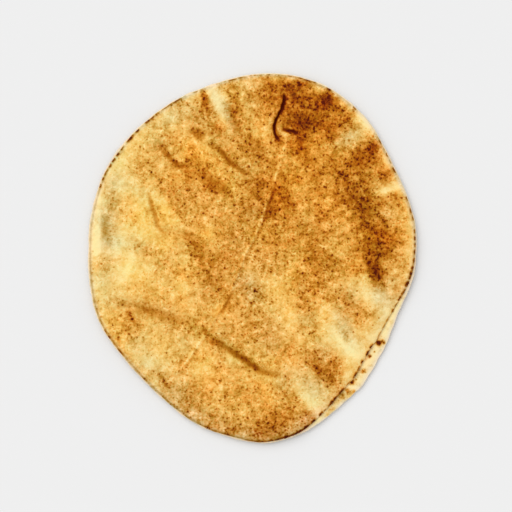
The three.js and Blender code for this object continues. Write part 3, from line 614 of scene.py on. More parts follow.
def albedo(red, green, blue):
    """Surface colour from how it looks, in 0 to 255, under this stage's light."""
    light_level = 1.08
    return tuple((channel / 255) ** 2.2 / light_level for channel in (red, green, blue)) + (1.0,)


# ---- Fineness of the mesh --------------------------------------------------------------------

# Corners that each ring has more than the one inside it
RING_GROWTH = 6
TOP_RINGS = 148
TOP_SPACING_POWER = 1.15
LEDGE_RINGS = 13
UNDERSIDE_RINGS = 52
# How strongly and how far, in widths of a crease, corners are drawn to the sharp creases
CREASE_PULL = 0.62
CREASE_REACH = 2.6

# ---- Form functions --------------------------------------------------------------------------


def smoothstep(share, low, high):
    """0 below low, 1 above high, and a smooth rise between."""
    t = np.clip((share - low) / (high - low), 0, 1)
    return t * t * (3 - 2 * t)


def bell(distance, width, power=2):
    """1 at no distance, falling smoothly to 0.37 at one width; a higher power is flatter on top."""
    return np.exp(-(distance / width) ** power)


def at(radius, direction):
    """Plan position at a distance from the middle in a direction."""
    return radius * np.cos(direction), radius * np.sin(direction)


def smooth_noise(x, y, cell, seed):
    """Seeded gradient noise of about -1 to 1, with features of one cell."""
    u, v = np.asarray(x) / cell, np.asarray(y) / cell
    column, row = np.floor(u).astype(np.int64), np.floor(v).astype(np.int64)
    du, dv = u - column, v - row
    fade_u, fade_v = (d * d * d * (d * (d * 6 - 15) + 10) for d in (du, dv))

    def corner(right, up):
        mixed = (column + right) * 374761393 + (row + up) * 668265263 + seed * 1442695041
        mixed = mixed & 0xFFFFFFFF
        mixed = ((mixed ^ (mixed >> 13)) * 1274126177) & 0xFFFFFFFF
        angle = (mixed & 0xFFFF) / 65536 * 2 * np.pi
        return np.cos(angle) * (du - right) + np.sin(angle) * (dv - up)

    low = corner(0, 0) * (1 - fade_u) + corner(1, 0) * fade_u
    high = corner(0, 1) * (1 - fade_u) + corner(1, 1) * fade_u
    return 1.6 * (low * (1 - fade_v) + high * fade_v)


def rim_noise(direction, cell, seed):
    """Smooth noise round the rim."""
    return smooth_noise(*at(RIM_RADIUS, direction), cell, seed)


def degrees_between(direction, angle):
    """Degrees from an angle to directions in radians, the short way round."""
    return (np.degrees(direction) - angle + 180) % 360 - 180


def swollen(radius, direction, swells, way=1):
    """A radius with soft swells, each given as angle, reach and spread, outward or inward."""
    for angle, reach, spread in swells:
        radius = radius + way * reach * bell(degrees_between(direction, angle), spread)
    return radius


def outline_radius(direction):
    """Distance from the middle to the outline."""
    radius = HALF_WIDTH * HALF_LENGTH / np.hypot(
        HALF_LENGTH * np.cos(direction), HALF_WIDTH * np.sin(direction))
    return swollen(radius, direction, OUTLINE_SWELLS)


def seam_radius(direction):
    """Distance from the middle to the edge of the upper leaf."""
    away = np.minimum(np.abs(degrees_between(direction, DRAWBACK_ANGLE)) / DRAWBACK_SPREAD, 1)
    drawback = np.cos(np.pi / 2 * away) ** DRAWBACK_POWER
    radius = outline_radius(direction) - SEAM_INSET - SEAM_DRAWBACK * drawback
    return swollen(radius, direction, SEAM_INSET_SWELLS, way=-1)


def narrowness(direction):
    """1 where the seam lies close to the outline, 0 where the lower leaf shows beyond it."""
    return 1 - smoothstep(outline_radius(direction) - seam_radius(direction), NARROW, WIDE)


def rim_lift(direction):
    """Height of the rim's underside above the table."""
    lift = RIM_LIFT
    for count, swing, crest in RIM_WAVES:
        lift = lift + swing * np.cos(count * (direction - math.radians(crest)))
    return lift


def oval_sum(x, y, ovals, softness=1.0):
    """Sum of soft ovals, each given as x, y, length, width, turn and amount."""
    total = np.zeros_like(x)
    for middle_x, middle_y, length, width, turn, amount in ovals:
        cos, sin = math.cos(math.radians(turn)), math.sin(math.radians(turn))
        dx, dy = x - middle_x, y - middle_y
        along = (dx * cos + dy * sin) / (length / 2)
        across = (dy * cos - dx * sin) / (width / 2)
        total += amount * np.exp(-softness * (along ** 2 + across ** 2))
    return total


def smooth_route(points, step=2.0):
    """Points every step or so along a Catmull-Rom curve through the given points."""
    p = np.array([points[0], *points, points[-1]], float)
    path = []
    for a, b, c, d in zip(p[:-3], p[1:-2], p[2:-1], p[3:]):
        t = np.linspace(0, 1, max(2, int(np.hypot(*(c - b)) / step)), endpoint=False)[:, None]
        path.append(0.5 * (2 * b + (c - a) * t + (2 * a - 5 * b + 4 * c - d) * t ** 2
                           + (3 * b - a - 3 * c + d) * t ** 3))
    return np.vstack([*path, p[-1:]])


def route_distance(x, y, points):
    """Signed distance to a route, positive on its left, and the share of the way along it."""
    path = smooth_route(points)
    lengths = np.hypot(*np.diff(path, axis=0).T)
    nearest = np.full(x.shape, 1e9)
    side = np.zeros(x.shape)
    share = np.zeros(x.shape)
    run = 0.0
    for (ax, ay), (bx, by), length in zip(path[:-1], path[1:], lengths):
        ux, uy = (bx - ax) / length, (by - ay) / length
        along = np.clip((x - ax) * ux + (y - ay) * uy, 0, length)
        distance = np.hypot(x - ax - along * ux, y - ay - along * uy)
        closer = distance < nearest
        nearest = np.where(closer, distance, nearest)
        side = np.where(closer, np.sign(ux * (y - ay) - uy * (x - ax)), side)
        share = np.where(closer, (run + along) / lengths.sum(), share)
        run += length
    return nearest * np.where(side == 0, 1, side), share


def taper(share, power=0.6):
    """Fades a crease out towards both its ends."""
    return np.sin(np.pi * np.clip(share, 0.001, 0.999)) ** power


def drawn_to_creases(x, y, step=0.05):
    """Plan positions pulled towards the sharp creases, so that the mesh is finer in them."""
    for route, width, *_ in (CREASES["pinch fold"], CREASES["side nick"], RIDGES["long"]):
        low, high = np.min(route, 0) - 5 * width, np.max(route, 0) + 5 * width
        near = (x > low[0]) & (x < high[0]) & (y > low[1]) & (y < high[1])
        px, py = x[near], y[near]
        distance, share = route_distance(px, py, route)
        slope_x = (route_distance(px + step, py, route)[0] - distance) / step
        slope_y = (route_distance(px, py + step, route)[0] - distance) / step
        inside = (share > 0.01) & (share < 0.99) & (np.hypot(slope_x, slope_y) < 1.2)
        move = -distance * CREASE_PULL * bell(distance, CREASE_REACH * width) * taper(share) * inside
        x[near], y[near] = px + move * slope_x, py + move * slope_y
    return x, y


def crease_relief(x, y):
    """Grooves with a soft shoulder on either side, and the raised ridges."""
    total = np.zeros_like(x)
    for route, width, depth, _, fade in CREASES.values():
        distance, share = route_distance(x, y, route)
        d = np.abs(distance) / (width / 2)
        shoulders = 0.28 * depth * bell(d - 1.9, 0.8)
        total += (shoulders - depth * bell(d, 1)) * taper(share, fade)
    for route, width, height in RIDGES.values():
        distance, share = route_distance(x, y, route)
        total += height * bell(distance, width / 2) * taper(share)
    return total


def noise_sum(x, y, waves):
    """Sum of smooth noises, each given as amount, cell and seed."""
    return sum(amount * smooth_noise(x, y, cell, seed) for amount, cell, seed in waves)


def top_height(x, y):
    """Height of the upper leaf."""
    direction = np.arctan2(y, x)
    share = np.minimum(np.hypot(x, y) / seam_radius(direction), 1)
    edge = rim_lift(direction) + LOWER_LEAF + SEAM_STEP
    shoulder = np.sqrt(1 - share ** SHOULDER_POWER)
    relief = oval_sum(x, y, PUFFS + HOLLOWS) + noise_sum(x, y, CRUMPLES) + crease_relief(x, y)
    return edge + (CROWN - edge) * shoulder + relief * (1 - share ** RELIEF_EDGE_POWER)


# ---- Toast functions -------------------------------------------------------------------------


def warped(x, y, waves):
    """A position moved about by smooth noises, each given as amount, cell and first seed."""
    new_x, new_y = x, y
    for amount, cell, seed in waves:
        new_x = new_x + amount * smooth_noise(x, y, cell, seed)
        new_y = new_y + amount * smooth_noise(x, y, cell, seed + 1)
    return new_x, new_y


def mark_sum(x, y, waves, *tables):
    """Sum of the marks in tables of places, on ground moved about by waves of noise."""
    marks = [(*mark[:4], mark[4] if len(mark) > 5 else 0, mark[-1] / 100)
             for table in tables for marks in table.values() for mark in marks]
    return oval_sum(*warped(x, y, waves), marks, MARK_SOFTNESS)


def rim_line(direction):
    """Tone of the very edge, all round, partly painted shade on its steep side: that of each stretch,
    blended at its ends.
    """
    tone = np.zeros_like(direction)
    for start, end, value in RIM_LINE:
        half = (end - start) / 2
        away = np.abs(degrees_between(direction, (start + end) / 2))
        tone += value * (1 - smoothstep(away, half - RIM_BLEND, half + RIM_BLEND))
    return tone * (1 + 0.5 * rim_noise(direction, 5, 33))


def seam_char(direction):
    """Tone and width of the charred dashes along the edge of the upper leaf."""
    tone = np.zeros_like(direction)
    width = np.ones_like(direction)
    for mark_x, mark_y, length, mark_width, strength in SEAM_MARKS:
        angle = math.degrees(math.atan2(mark_y, mark_x))
        along = np.radians(degrees_between(direction, angle)) * math.hypot(mark_x, mark_y)
        here = strength * bell(along, 0.55 * length, 4)
        width = np.where(here > tone, mark_width, width)
        tone = np.maximum(tone, here)
    uneven = 1 + 0.35 * rim_noise(direction, 2.5, 34)
    return tone * uneven, width * uneven


def long_ridge_tone(x, y):
    """The long ridge is pale along its crest, pale crust and partly painted highlight, and brown down
    its right flank, painted shade.
    """
    route, width, _ = RIDGES["long"]
    distance, share = route_distance(x, y, route)
    upper = 1 - smoothstep(share, *RIDGE_HEAD_ENDS)
    lower = smoothstep(share, *RIDGE_FOOT_STARTS)
    # Pale crest: pale crust and painted highlight
    crest = bell(distance, (0.45 + 0.2 * upper - 0.1 * lower) * width)
    crest *= -0.19 - 0.08 * upper - 0.08 * lower
    # Brown right flank: painted shade on the side away from the light
    flank = 0.32 * bell(distance - 0.95 * width, 0.45 * width)
    strong = 0.25 + 0.8 * bell(share - FLANK_DARKEST, 0.12) + 0.5 * lower
    faint = 1 - smoothstep(share, *RIDGE_FADES) + 0.25 * smoothstep(share, *RIDGE_RETURNS) + 0.75 * lower
    # Brown step beside the lower stretch: painted shade
    step = 0.30 * bell(distance - 0.6 * width, 0.8 * width)
    step *= smoothstep(distance, -0.3 * width, 0.3 * width)
    step *= smoothstep(share, *STEP_STARTS) * (1 - smoothstep(share, *STEP_ENDS))
    return crest * taper(share, 0.15) * faint + flank * strong * taper(share) * faint + step


def top_shade(x, y, direction, inside):
    """Smooth tone over the toast, much of it painted shade: in the creases, along the long ridge and
    along the edge.
    """
    bent_x, bent_y = warped(x, y, SHADE_WARP)
    tone = long_ridge_tone(x, y) + oval_sum(bent_x, bent_y, SOFT_SHADES)
    # Darker in the creases: toasted crust and painted shade
    for route, width, _, added, fade in CREASES.values():
        distance, share = route_distance(bent_x, bent_y, route)
        tone += added * bell(np.abs(distance), width / 2, 2.4) * taper(share, fade)
    # The very edge's line, partly painted shade
    tone += narrowness(direction) * rim_line(direction) * bell(inside - 1.0, 0.8)
    char, char_width = seam_char(direction)
    return tone + CHAR_SHADE * char * bell(inside - 0.2, 0.6 * char_width)


def top_tones(x, y):
    """Everything that the crust's material reads, on the upper leaf."""
    direction = np.arctan2(y, x)
    inside = seam_radius(direction) - np.hypot(x, y)
    pale = PALE_RIM + PALE_RIM_SWING * np.cos(direction - math.radians(PALE_RIM_ANGLE))
    toast = TOAST_BASE + mark_sum(x, y, BROAD_WARP, TOAST_PATCHES, PALE_PATCHES)
    toast += noise_sum(x, y, TOAST_DRIFT)
    toast += mark_sum(x, y, SMALL_WARP, SMALL_MARKS)
    # Greying: painted shade in hollows, beside folds and just inside the seam, greyish crust elsewhere
    dull = DULL_BASE + mark_sum(x, y, GREY_AND_SHADE_WARP, GREY_AND_SHADE_PATCHES)
    yellow = mark_sum(x, y, YELLOW_WARP, YELLOW_PATCHES)
    narrow, near = narrowness(direction), bell(inside, RIM_TINT_WIDTH)
    return {
        "toast": toast - pale * bell(inside, PALE_RIM_WIDTH),
        "shade": top_shade(x, y, direction, inside),
        "dull": dull + narrow * RIM_GREY_AND_SHADE * near,
        "yellow": yellow + narrow * RIM_YELLOWNESS * near,
    }


def strip_toast(x, y):
    """Tone of the lower leaf beyond the seam."""
    tone = STRIP_TONE + 0.08 * smooth_noise(x, y, 7, 41) + 0.08 * smooth_noise(x, y, 3, 43)
    for spot_x, spot_y, diameter, added in STRIP_SPOTS:
        away = np.hypot(x - spot_x, y - spot_y) / (diameter / 2)
        tone = tone + added * np.exp(-0.8 * away ** 3)
    return tone


def underside_toast(x, y):
    """Tone of the underside: paler, with a few broad brown patches."""
    broad = smooth_noise(x, y, 46, 51) + 0.5 * smooth_noise(x, y, 20, 52)
    patches = UNDERSIDE_PATCH_TONE * smoothstep(broad, 0.1, 0.8)
    return UNDERSIDE_TONE + patches + 0.06 * smooth_noise(x, y, 9, 53)


# ---- Mesh of the crust -----------------------------------------------------------------------

# What the crust's material reads from its mesh
TONES = ("toast", "shade", "dull", "yellow")


def ring(x, y, z, toast=0.0, shade=0.0, dull=0.0, yellow=0.0):
    """Corners round the loaf at one step from the middle of the top to that of the underside."""
    values = {"x": x, "y": y, "z": z, "toast": toast, "shade": shade, "dull": dull, "yellow": yellow}
    return {name: np.broadcast_to(value, np.size(x)) for name, value in values.items()}


def directions(corners):
    """Equally spaced directions in radians."""
    return np.arange(corners) / corners * 2 * np.pi


def rough_edge(direction, seed):
    """Small unevenness of the outline and the seam."""
    return 0.35 * rim_noise(direction, 9, seed) + 0.15 * rim_noise(direction, 3.5, seed + 1)


def top_rings():
    """The rings of the upper leaf, from the middle out to its edge."""
    places = [np.zeros((2, 1))]
    for k in range(1, TOP_RINGS + 1):
        share = 1 - (1 - k / TOP_RINGS) ** TOP_SPACING_POWER
        direction = directions(RING_GROWTH * k)
        rough = share ** ROUGH_EDGE_POWER * rough_edge(direction, SEAM_SEED)
        places.append(np.array(at(share * (seam_radius(direction) + rough), direction)))
    x, y = drawn_to_creases(*np.hstack(places))
    values = {"x": x, "y": y, "z": top_height(x, y), **top_tones(x, y)}
    ends = np.cumsum([place.shape[1] for place in places])[:-1]
    parts = zip(*(np.split(value, ends) for value in values.values()))
    return [dict(zip(values, part)) for part in parts]


def seam_rings():
    """The rounded edge of the upper leaf and the gap under it."""
    direction = directions(RING_GROWTH * TOP_RINGS)
    edge = seam_radius(direction) + rough_edge(direction, SEAM_SEED)
    leaf = rim_lift(direction) + LOWER_LEAF
    # Between the dashes: brown crust and painted shade of the gap under the upper leaf
    bare = SEAM_TONE - SEAM_PALENESS * narrowness(direction)
    # The very edge's line, partly painted shade, and the dashes of char
    char = rim_line(direction) + seam_char(direction)[0]
    rings = []
    for k, (out, up, share) in enumerate(SEAM_PROFILE):
        x, y = at(edge + out, direction)
        blotches = 1 + 0.6 * smooth_noise(x, y, 2.2, 81 + k)
        rings.append(ring(x, y, leaf + up * SEAM_STEP, bare + share * char * blotches,
                          dull=SEAM_DULLNESS, yellow=SEAM_YELLOWNESS))
    return rings


def ledge_rings():
    """The lower leaf from the foot of the seam over its edge."""
    direction = directions(RING_GROWTH * TOP_RINGS)
    lift = rim_lift(direction)
    foot = seam_radius(direction) + rough_edge(direction, SEAM_SEED) + SEAM_FOOT
    outer = outline_radius(direction) + rough_edge(direction, OUTLINE_SEED)
    width = np.maximum(outer - EDGE_ROUNDING - foot, LEAST_LEDGE)
    wide = 1 - narrowness(direction)
    # The very edge's line, partly painted shade, and a share of the char
    char = rim_line(direction) + 0.6 * seam_char(direction)[0]
    rings = []
    for k in range(LEDGE_RINGS + 1):
        share = k / LEDGE_RINGS
        x, y = at(foot + share * width, direction)
        bulge = wide * (LEDGE_BULGE * math.sin(math.pi * share) + 0.25 * smooth_noise(x, y, 6, 42))
        strip = strip_toast(x, y) + FOOT_SHADE * bell(share, FOOT_SHADE_SHARE)
        tone = wide * strip + (1 - wide) * char * bell(share, 0.25)
        edge = 1 - wide * (1 - share ** 4)
        pale = 1 - smoothstep(tone, 0.05, 0.35)
        dull = STRIP_DULLNESS + edge * (EDGE_DULLNESS * pale - STRIP_DULLNESS)
        yellow = STRIP_YELLOWNESS + edge * (EDGE_YELLOWNESS * pale - STRIP_YELLOWNESS)
        rings.append(ring(x, y, lift + LOWER_LEAF + bulge, tone, dull=dull, yellow=yellow))
    side = 0.15 * char * (1 - wide)
    for out, up in EDGE_PROFILE:
        rings.append(ring(*at(outer + out, direction), lift + up * LOWER_LEAF, side,
                          dull=EDGE_DULLNESS, yellow=EDGE_YELLOWNESS))
    return rings


def underside_rings():
    """The underside, from the rim to the middle, where it lies on the table."""
    rings = []
    for k in range(UNDERSIDE_RINGS - 1, 0, -1):
        share = k / UNDERSIDE_RINGS
        direction = directions(RING_GROWTH * k)
        x, y = at(share * outline_radius(direction), direction)
        lift = rim_lift(direction) * smoothstep(share, FLAT_SHARE, 1)
        dents = 0.35 * np.maximum(smooth_noise(x, y, 24, 54) + 0.6 * smooth_noise(x, y, 9, 55), 0)
        rings.append(ring(x, y, lift + dents, underside_toast(x, y)))
    return rings + [ring(0.0, 0.0, 0.0, UNDERSIDE_MIDDLE_TONE)]


def stitched(first, first_start, second, second_start):
    """Triangles between neighbouring rings, which may differ in their number of corners."""
    faces = []
    first_steps = first if first > 1 else 0
    second_steps = second if second > 1 else 0
    i = j = 0
    while i < first_steps or j < second_steps:
        a, b = first_start + i % first, second_start + j % second
        second_next = i >= first_steps or (
            second_steps and (j + 1) / second_steps <= (i + 1) / first_steps)
        if j < second_steps and second_next:
            faces.append((a, b, second_start + (j + 1) % second))
            j += 1
        else:
            faces.append((a, b, first_start + (i + 1) % first))
            i += 1
    return faces


def new_mesh(name, place, edges, faces, attributes):
    """A mesh with its corners in millimetres and values kept on them under names."""
    mesh = bpy.data.meshes.new(name)
    mesh.from_pydata((place * MM).tolist(), edges, faces)
    for key, values in attributes.items():
        values = np.broadcast_to(values, len(place)).astype(np.float32)
        mesh.attributes.new(key, "FLOAT", "POINT").data.foreach_set("value", values)
    return mesh


def crust_mesh():
    """The closed mesh of the crust, with its tones as attributes, and the middle of its plan."""
    rings = top_rings() + seam_rings() + ledge_rings() + underside_rings()
    faces = []
    start = 0
    for inner, outer in zip(rings[:-1], rings[1:]):
        count = len(inner["x"])
        faces += stitched(count, start, len(outer["x"]), start + count)
        start += count
    values = {name: np.concatenate([part[name] for part in rings]) for name in rings[0]}
    place = np.column_stack([values.pop(axis) for axis in "xyz"])
    middle = (place.max(0) + place.min(0)) / 2
    mesh = new_mesh("crust", place - (middle[0], middle[1], 0), [], faces, values)
    mesh.shade_smooth()
    mesh.update()
    return mesh, middle[:2].tolist()


# ---- Nodes -----------------------------------------------------------------------------------


def add_node(tree, kind, inputs=None, **settings):
    """A new node with its settings, and its inputs set or linked by name or number."""
    node = tree.nodes.new(kind)
    for name, value in settings.items():
        setattr(node, name, value)
    for key, value in (inputs or {}).items():
        if isinstance(value, bpy.types.NodeSocket):
            tree.links.new(value, node.inputs[key])
        else:
            node.inputs[key].default_value = value
    return node


def math_node(tree, operation, *values):
    """The output of a Math node."""
    return add_node(tree, "ShaderNodeMath", dict(enumerate(values)), operation=operation).outputs[0]


def vector_math(tree, operation, *values):
    """The output of a Vector Math node."""
    inputs = dict(enumerate(values))
    return add_node(tree, "ShaderNodeVectorMath", inputs, operation=operation).outputs[0]


def combined(tree, *values):
    """A vector of three values."""
    return add_node(tree, "ShaderNodeCombineXYZ", dict(enumerate(values))).outputs[0]


def blended(tree, share, first, second, **settings):
    """A mix of two colours."""
    inputs = {0: share, 6: first, 7: second}
    return add_node(tree, "ShaderNodeMix", inputs, data_type="RGBA", **settings).outputs[2]


def map_range(tree, value, source, target, kind="LINEAR"):
    """A value carried from one range to another, held at its ends."""
    inputs = dict(enumerate((value, *source, *target)))
    return add_node(tree, "ShaderNodeMapRange", inputs, interpolation_type=kind).outputs[0]


def new_material(name):
    """An empty material, its tree and its Principled shader."""
    material = bpy.data.materials.new(name)
    material.use_nodes = True
    tree = material.node_tree
    tree.nodes.clear()
    shader = tree.nodes.new("ShaderNodeBsdfPrincipled")
    add_node(tree, "ShaderNodeOutputMaterial", {"Surface": shader.outputs[0]})
    return material, tree, shader


def new_geometry_tree(name, **sockets):
    """A Geometry Nodes tree, its named inputs, given by kind, and its output node."""
    tree = bpy.data.node_groups.new(name, "GeometryNodeTree")
    tree.interface.new_socket("Geometry", in_out="OUTPUT", socket_type="NodeSocketGeometry")
    tree.interface.new_socket("Geometry", in_out="INPUT", socket_type="NodeSocketGeometry")
    for kind, names in sockets.items():
        for socket_name in names.split():
            tree.interface.new_socket(socket_name, in_out="INPUT", socket_type="NodeSocket" + kind)
    return tree, tree.nodes.new("NodeGroupInput").outputs, tree.nodes.new("NodeGroupOutput")


def made_plain(thing, tree, values):
    """Runs a Geometry Nodes tree on an object with named values and keeps the result as a mesh."""
    modifier = thing.modifiers.new(tree.name, "NODES")
    modifier.node_group = tree
    for item in tree.interface.items_tree:
        if item.in_out == "INPUT" and item.name in values:
            modifier[item.identifier] = values[item.name]
    graph = bpy.context.evaluated_depsgraph_get()
    mesh = bpy.data.meshes.new_from_object(
        thing.evaluated_get(graph), preserve_all_data_layers=True, depsgraph=graph)
    thing.modifiers.clear()
    thing.data = mesh


def attribute_value(tree, name):
    """The value of a named attribute."""
    node = add_node(tree, "GeometryNodeInputNamedAttribute", {"Name": name}, data_type="FLOAT")
    return node.outputs["Attribute"]


def position(tree):
    """The position of each point."""
    return tree.nodes.new("GeometryNodeInputPosition").outputs[0]


def stored(tree, geometry, name, value):
    """Geometry with a value kept on its points under a name."""
    inputs = {"Geometry": geometry, "Name": name, "Value": value}
    return add_node(tree, "GeometryNodeStoreNamedAttribute", inputs, data_type="FLOAT",
                    domain="POINT").outputs[0]


def random_value(tree, low, high, seed, salt):
    """A random number for each point."""
    inputs = {2: low, 3: high, 8: math_node(tree, "ADD", seed, float(salt))}
    return add_node(tree, "FunctionNodeRandomValue", inputs, data_type="FLOAT").outputs[1]


def facing(tree, normal, seed, salt):
    """A rotation that stands on a surface and is turned at random about its normal."""
    upright = add_node(tree, "FunctionNodeAlignRotationToVector", {"Vector": normal}, axis="Z")
    turn = combined(tree, 0.0, 0.0, random_value(tree, 0.0, 2 * math.pi, seed, salt))
    about = add_node(tree, "FunctionNodeEulerToRotation", {0: turn})
    return add_node(tree, "FunctionNodeRotateRotation", {0: upright.outputs[0], 1: about.outputs[0]},
                    rotation_space="LOCAL").outputs[0]


def bump_shape(tree, segments, rings):
    """A small round lump of radius 1, darker towards its top."""
    sphere = add_node(tree, "GeometryNodeMeshUVSphere",
                      {"Segments": segments, "Rings": rings, "Radius": 1.0})
    height = add_node(tree, "ShaderNodeSeparateXYZ", {0: position(tree)}).outputs[2]
    crown = map_range(tree, height, (0.25, 0.85), (0.0, 1.0))
    return stored(tree, sphere.outputs["Mesh"], "crown", crown)


def finished(tree, output, places, darkness, wobble, material):
    """Sets lumps in their places, makes them real, darker at their crowns and uneven."""
    lumps = add_node(tree, "GeometryNodeInstanceOnPoints", places).outputs[0]
    real = add_node(tree, "GeometryNodeRealizeInstances", {0: lumps}).outputs[0]
    toast = math_node(tree, "MULTIPLY_ADD", attribute_value(tree, "crown"), darkness,
                      attribute_value(tree, "toast"))
    waves = add_node(tree, "ShaderNodeTexNoise",
                     {"Vector": position(tree), "Scale": WOBBLE_SCALE, "Detail": 0.0})
    centred = vector_math(tree, "SUBTRACT", waves.outputs["Color"], (0.5, 0.5, 0.5))
    uneven = add_node(tree, "GeometryNodeSetPosition", {
        "Geometry": stored(tree, real, "toast", toast),
        "Offset": vector_math(tree, "MULTIPLY", centred, (wobble,) * 3)})
    smooth = add_node(tree, "GeometryNodeSetShadeSmooth", {0: uneven.outputs[0]}).outputs[0]
    final = add_node(tree, "GeometryNodeSetMaterial", {"Geometry": smooth, "Material": material})
    tree.links.new(final.outputs[0], output.inputs[0])


def noise(tree, place, size, detail=2.0, roughness=0.5, distortion=0.0):
    """Noise with features of a size in millimetres, centred on zero."""
    inputs = {"Vector": place, "Scale": 1 / size, "Detail": detail, "Roughness": roughness,
              "Distortion": distortion}
    value = add_node(tree, "ShaderNodeTexNoise", inputs).outputs[0]
    return math_node(tree, "SUBTRACT", value, 0.5)


def speckles(tree, place, crowding, spacing, offset, spread, size):
    """Ragged specks on a jittered grid, larger and denser where they crowd."""
    warp = add_node(tree, "ShaderNodeTexNoise", {"Vector": place, "Scale": 1.2 / spacing, "Detail": 1.0})
    moved = vector_math(tree, "MULTIPLY_ADD", warp.outputs["Color"], (0.7 * spacing,) * 3, place)
    shifted = vector_math(tree, "ADD", moved, (offset,) * 3)
    cells = add_node(tree, "ShaderNodeTexVoronoi", {"Vector": shifted, "Scale": 1 / spacing},
                     feature="F1", voronoi_dimensions="2D")
    chance = add_node(tree, "ShaderNodeSeparateColor", {0: cells.outputs["Color"]})
    favour = math_node(tree, "ADD", crowding, chance.outputs[0])
    radius = map_range(tree, favour, spread, (0.02, size))
    inner = math_node(tree, "MULTIPLY", radius, 0.2)
    speck = map_range(tree, cells.outputs["Distance"], (inner, radius), (1.0, 0.0), "SMOOTHSTEP")
    strength = map_range(tree, chance.outputs[1], (0, 1), (0.4, 1.0))
    return math_node(tree, "MULTIPLY", speck, strength)


# Three sizes of specks: spacing in mm, offset of the grid, range of crowding, size in cells
SPECKS = [
    (6.0, 0.0, (0.90, 1.6), 0.36), (3.4, 37.0, (0.40, 1.4), 0.46), (2.4, 83.0, (0.40, 1.3), 0.46),
]
# Features to the metre of the noise that gathers blisters and of the noise that makes them uneven
CLUSTER_SCALE = 70.0
WOBBLE_SCALE = 700.0
# How far, in metres, blisters and flakes are pushed out of their even shape
BLISTER_WOBBLE = 0.0006
FLAKE_WOBBLE = 0.0008
# How much darker the top of a flake is
FLAKE_DARKNESS = 0.1
# How the crust's colour drifts to either side, and what greying, partly painted shade, and
# yellowness add to it
WARM_TINT, COOL_TINT = (1.145, 0.855, 0.71, 1), (0.89, 1.135, 1.28, 1)
GREY_AND_SHADE_TINT, YELLOW_TINT = (-0.12, 0.01, 0.38), (-0.10, 0.04, 0.0)
# Where on the ramp the named colours lie, from pale to char
RAMP = {"pale": 0.0, "straw": 0.16, "golden": 0.32, "toasted": 0.48, "brown": 0.64, "dark": 0.80,
        "char": 1.0}
RAMP_REACH = 0.8


def crust_detail(tree, place, toast, settings):
    """Fine tone and fine relief of the crust: mottling, grain and specks."""
    worms = noise(tree, place, 5.5, 2.0, 0.8, 0.3)
    grain = noise(tree, place, 2.2, 1.0, 0.5, 0.5)
    mottle = math_node(tree, "MULTIPLY_ADD", worms, settings.mottling,
                       math_node(tree, "MULTIPLY", grain, settings.graininess))
    clusters = noise(tree, place, 9.0, 2.0, 0.7)
    crowding = math_node(tree, "MULTIPLY_ADD", clusters, 1.6, math_node(tree, "MULTIPLY", toast, 0.7))
    large, middling, fine = (speckles(tree, place, crowding, *kind) for kind in SPECKS)
    specks = math_node(tree, "ADD", large, math_node(tree, "MULTIPLY_ADD", middling, 0.9,
                                                    math_node(tree, "MULTIPLY", fine, 0.6)))
    tone = math_node(tree, "MULTIPLY_ADD", specks, settings.speck_tone, mottle)
    tone = math_node(tree, "SUBTRACT", tone, settings.speck_offset)
    tone = math_node(tree, "MAXIMUM", tone, math_node(tree, "MULTIPLY", tone, 0.8))
    relief = math_node(tree, "MULTIPLY_ADD", specks, -0.25, math_node(tree, "ADD", worms, grain))
    return tone, relief


def colour_ramp(tree, tone, settings):
    """The crust's colour at a tone."""
    ramp = add_node(tree, "ShaderNodeValToRGB", {0: math_node(tree, "MULTIPLY", tone, RAMP_REACH)})
    elements = ramp.color_ramp.elements
    while len(elements) < len(RAMP):
        elements.new(1.0)
    for element, (name, place) in zip(elements, RAMP.items()):
        element.position = place
        element.color = getattr(settings, name)
    return ramp.outputs[0]


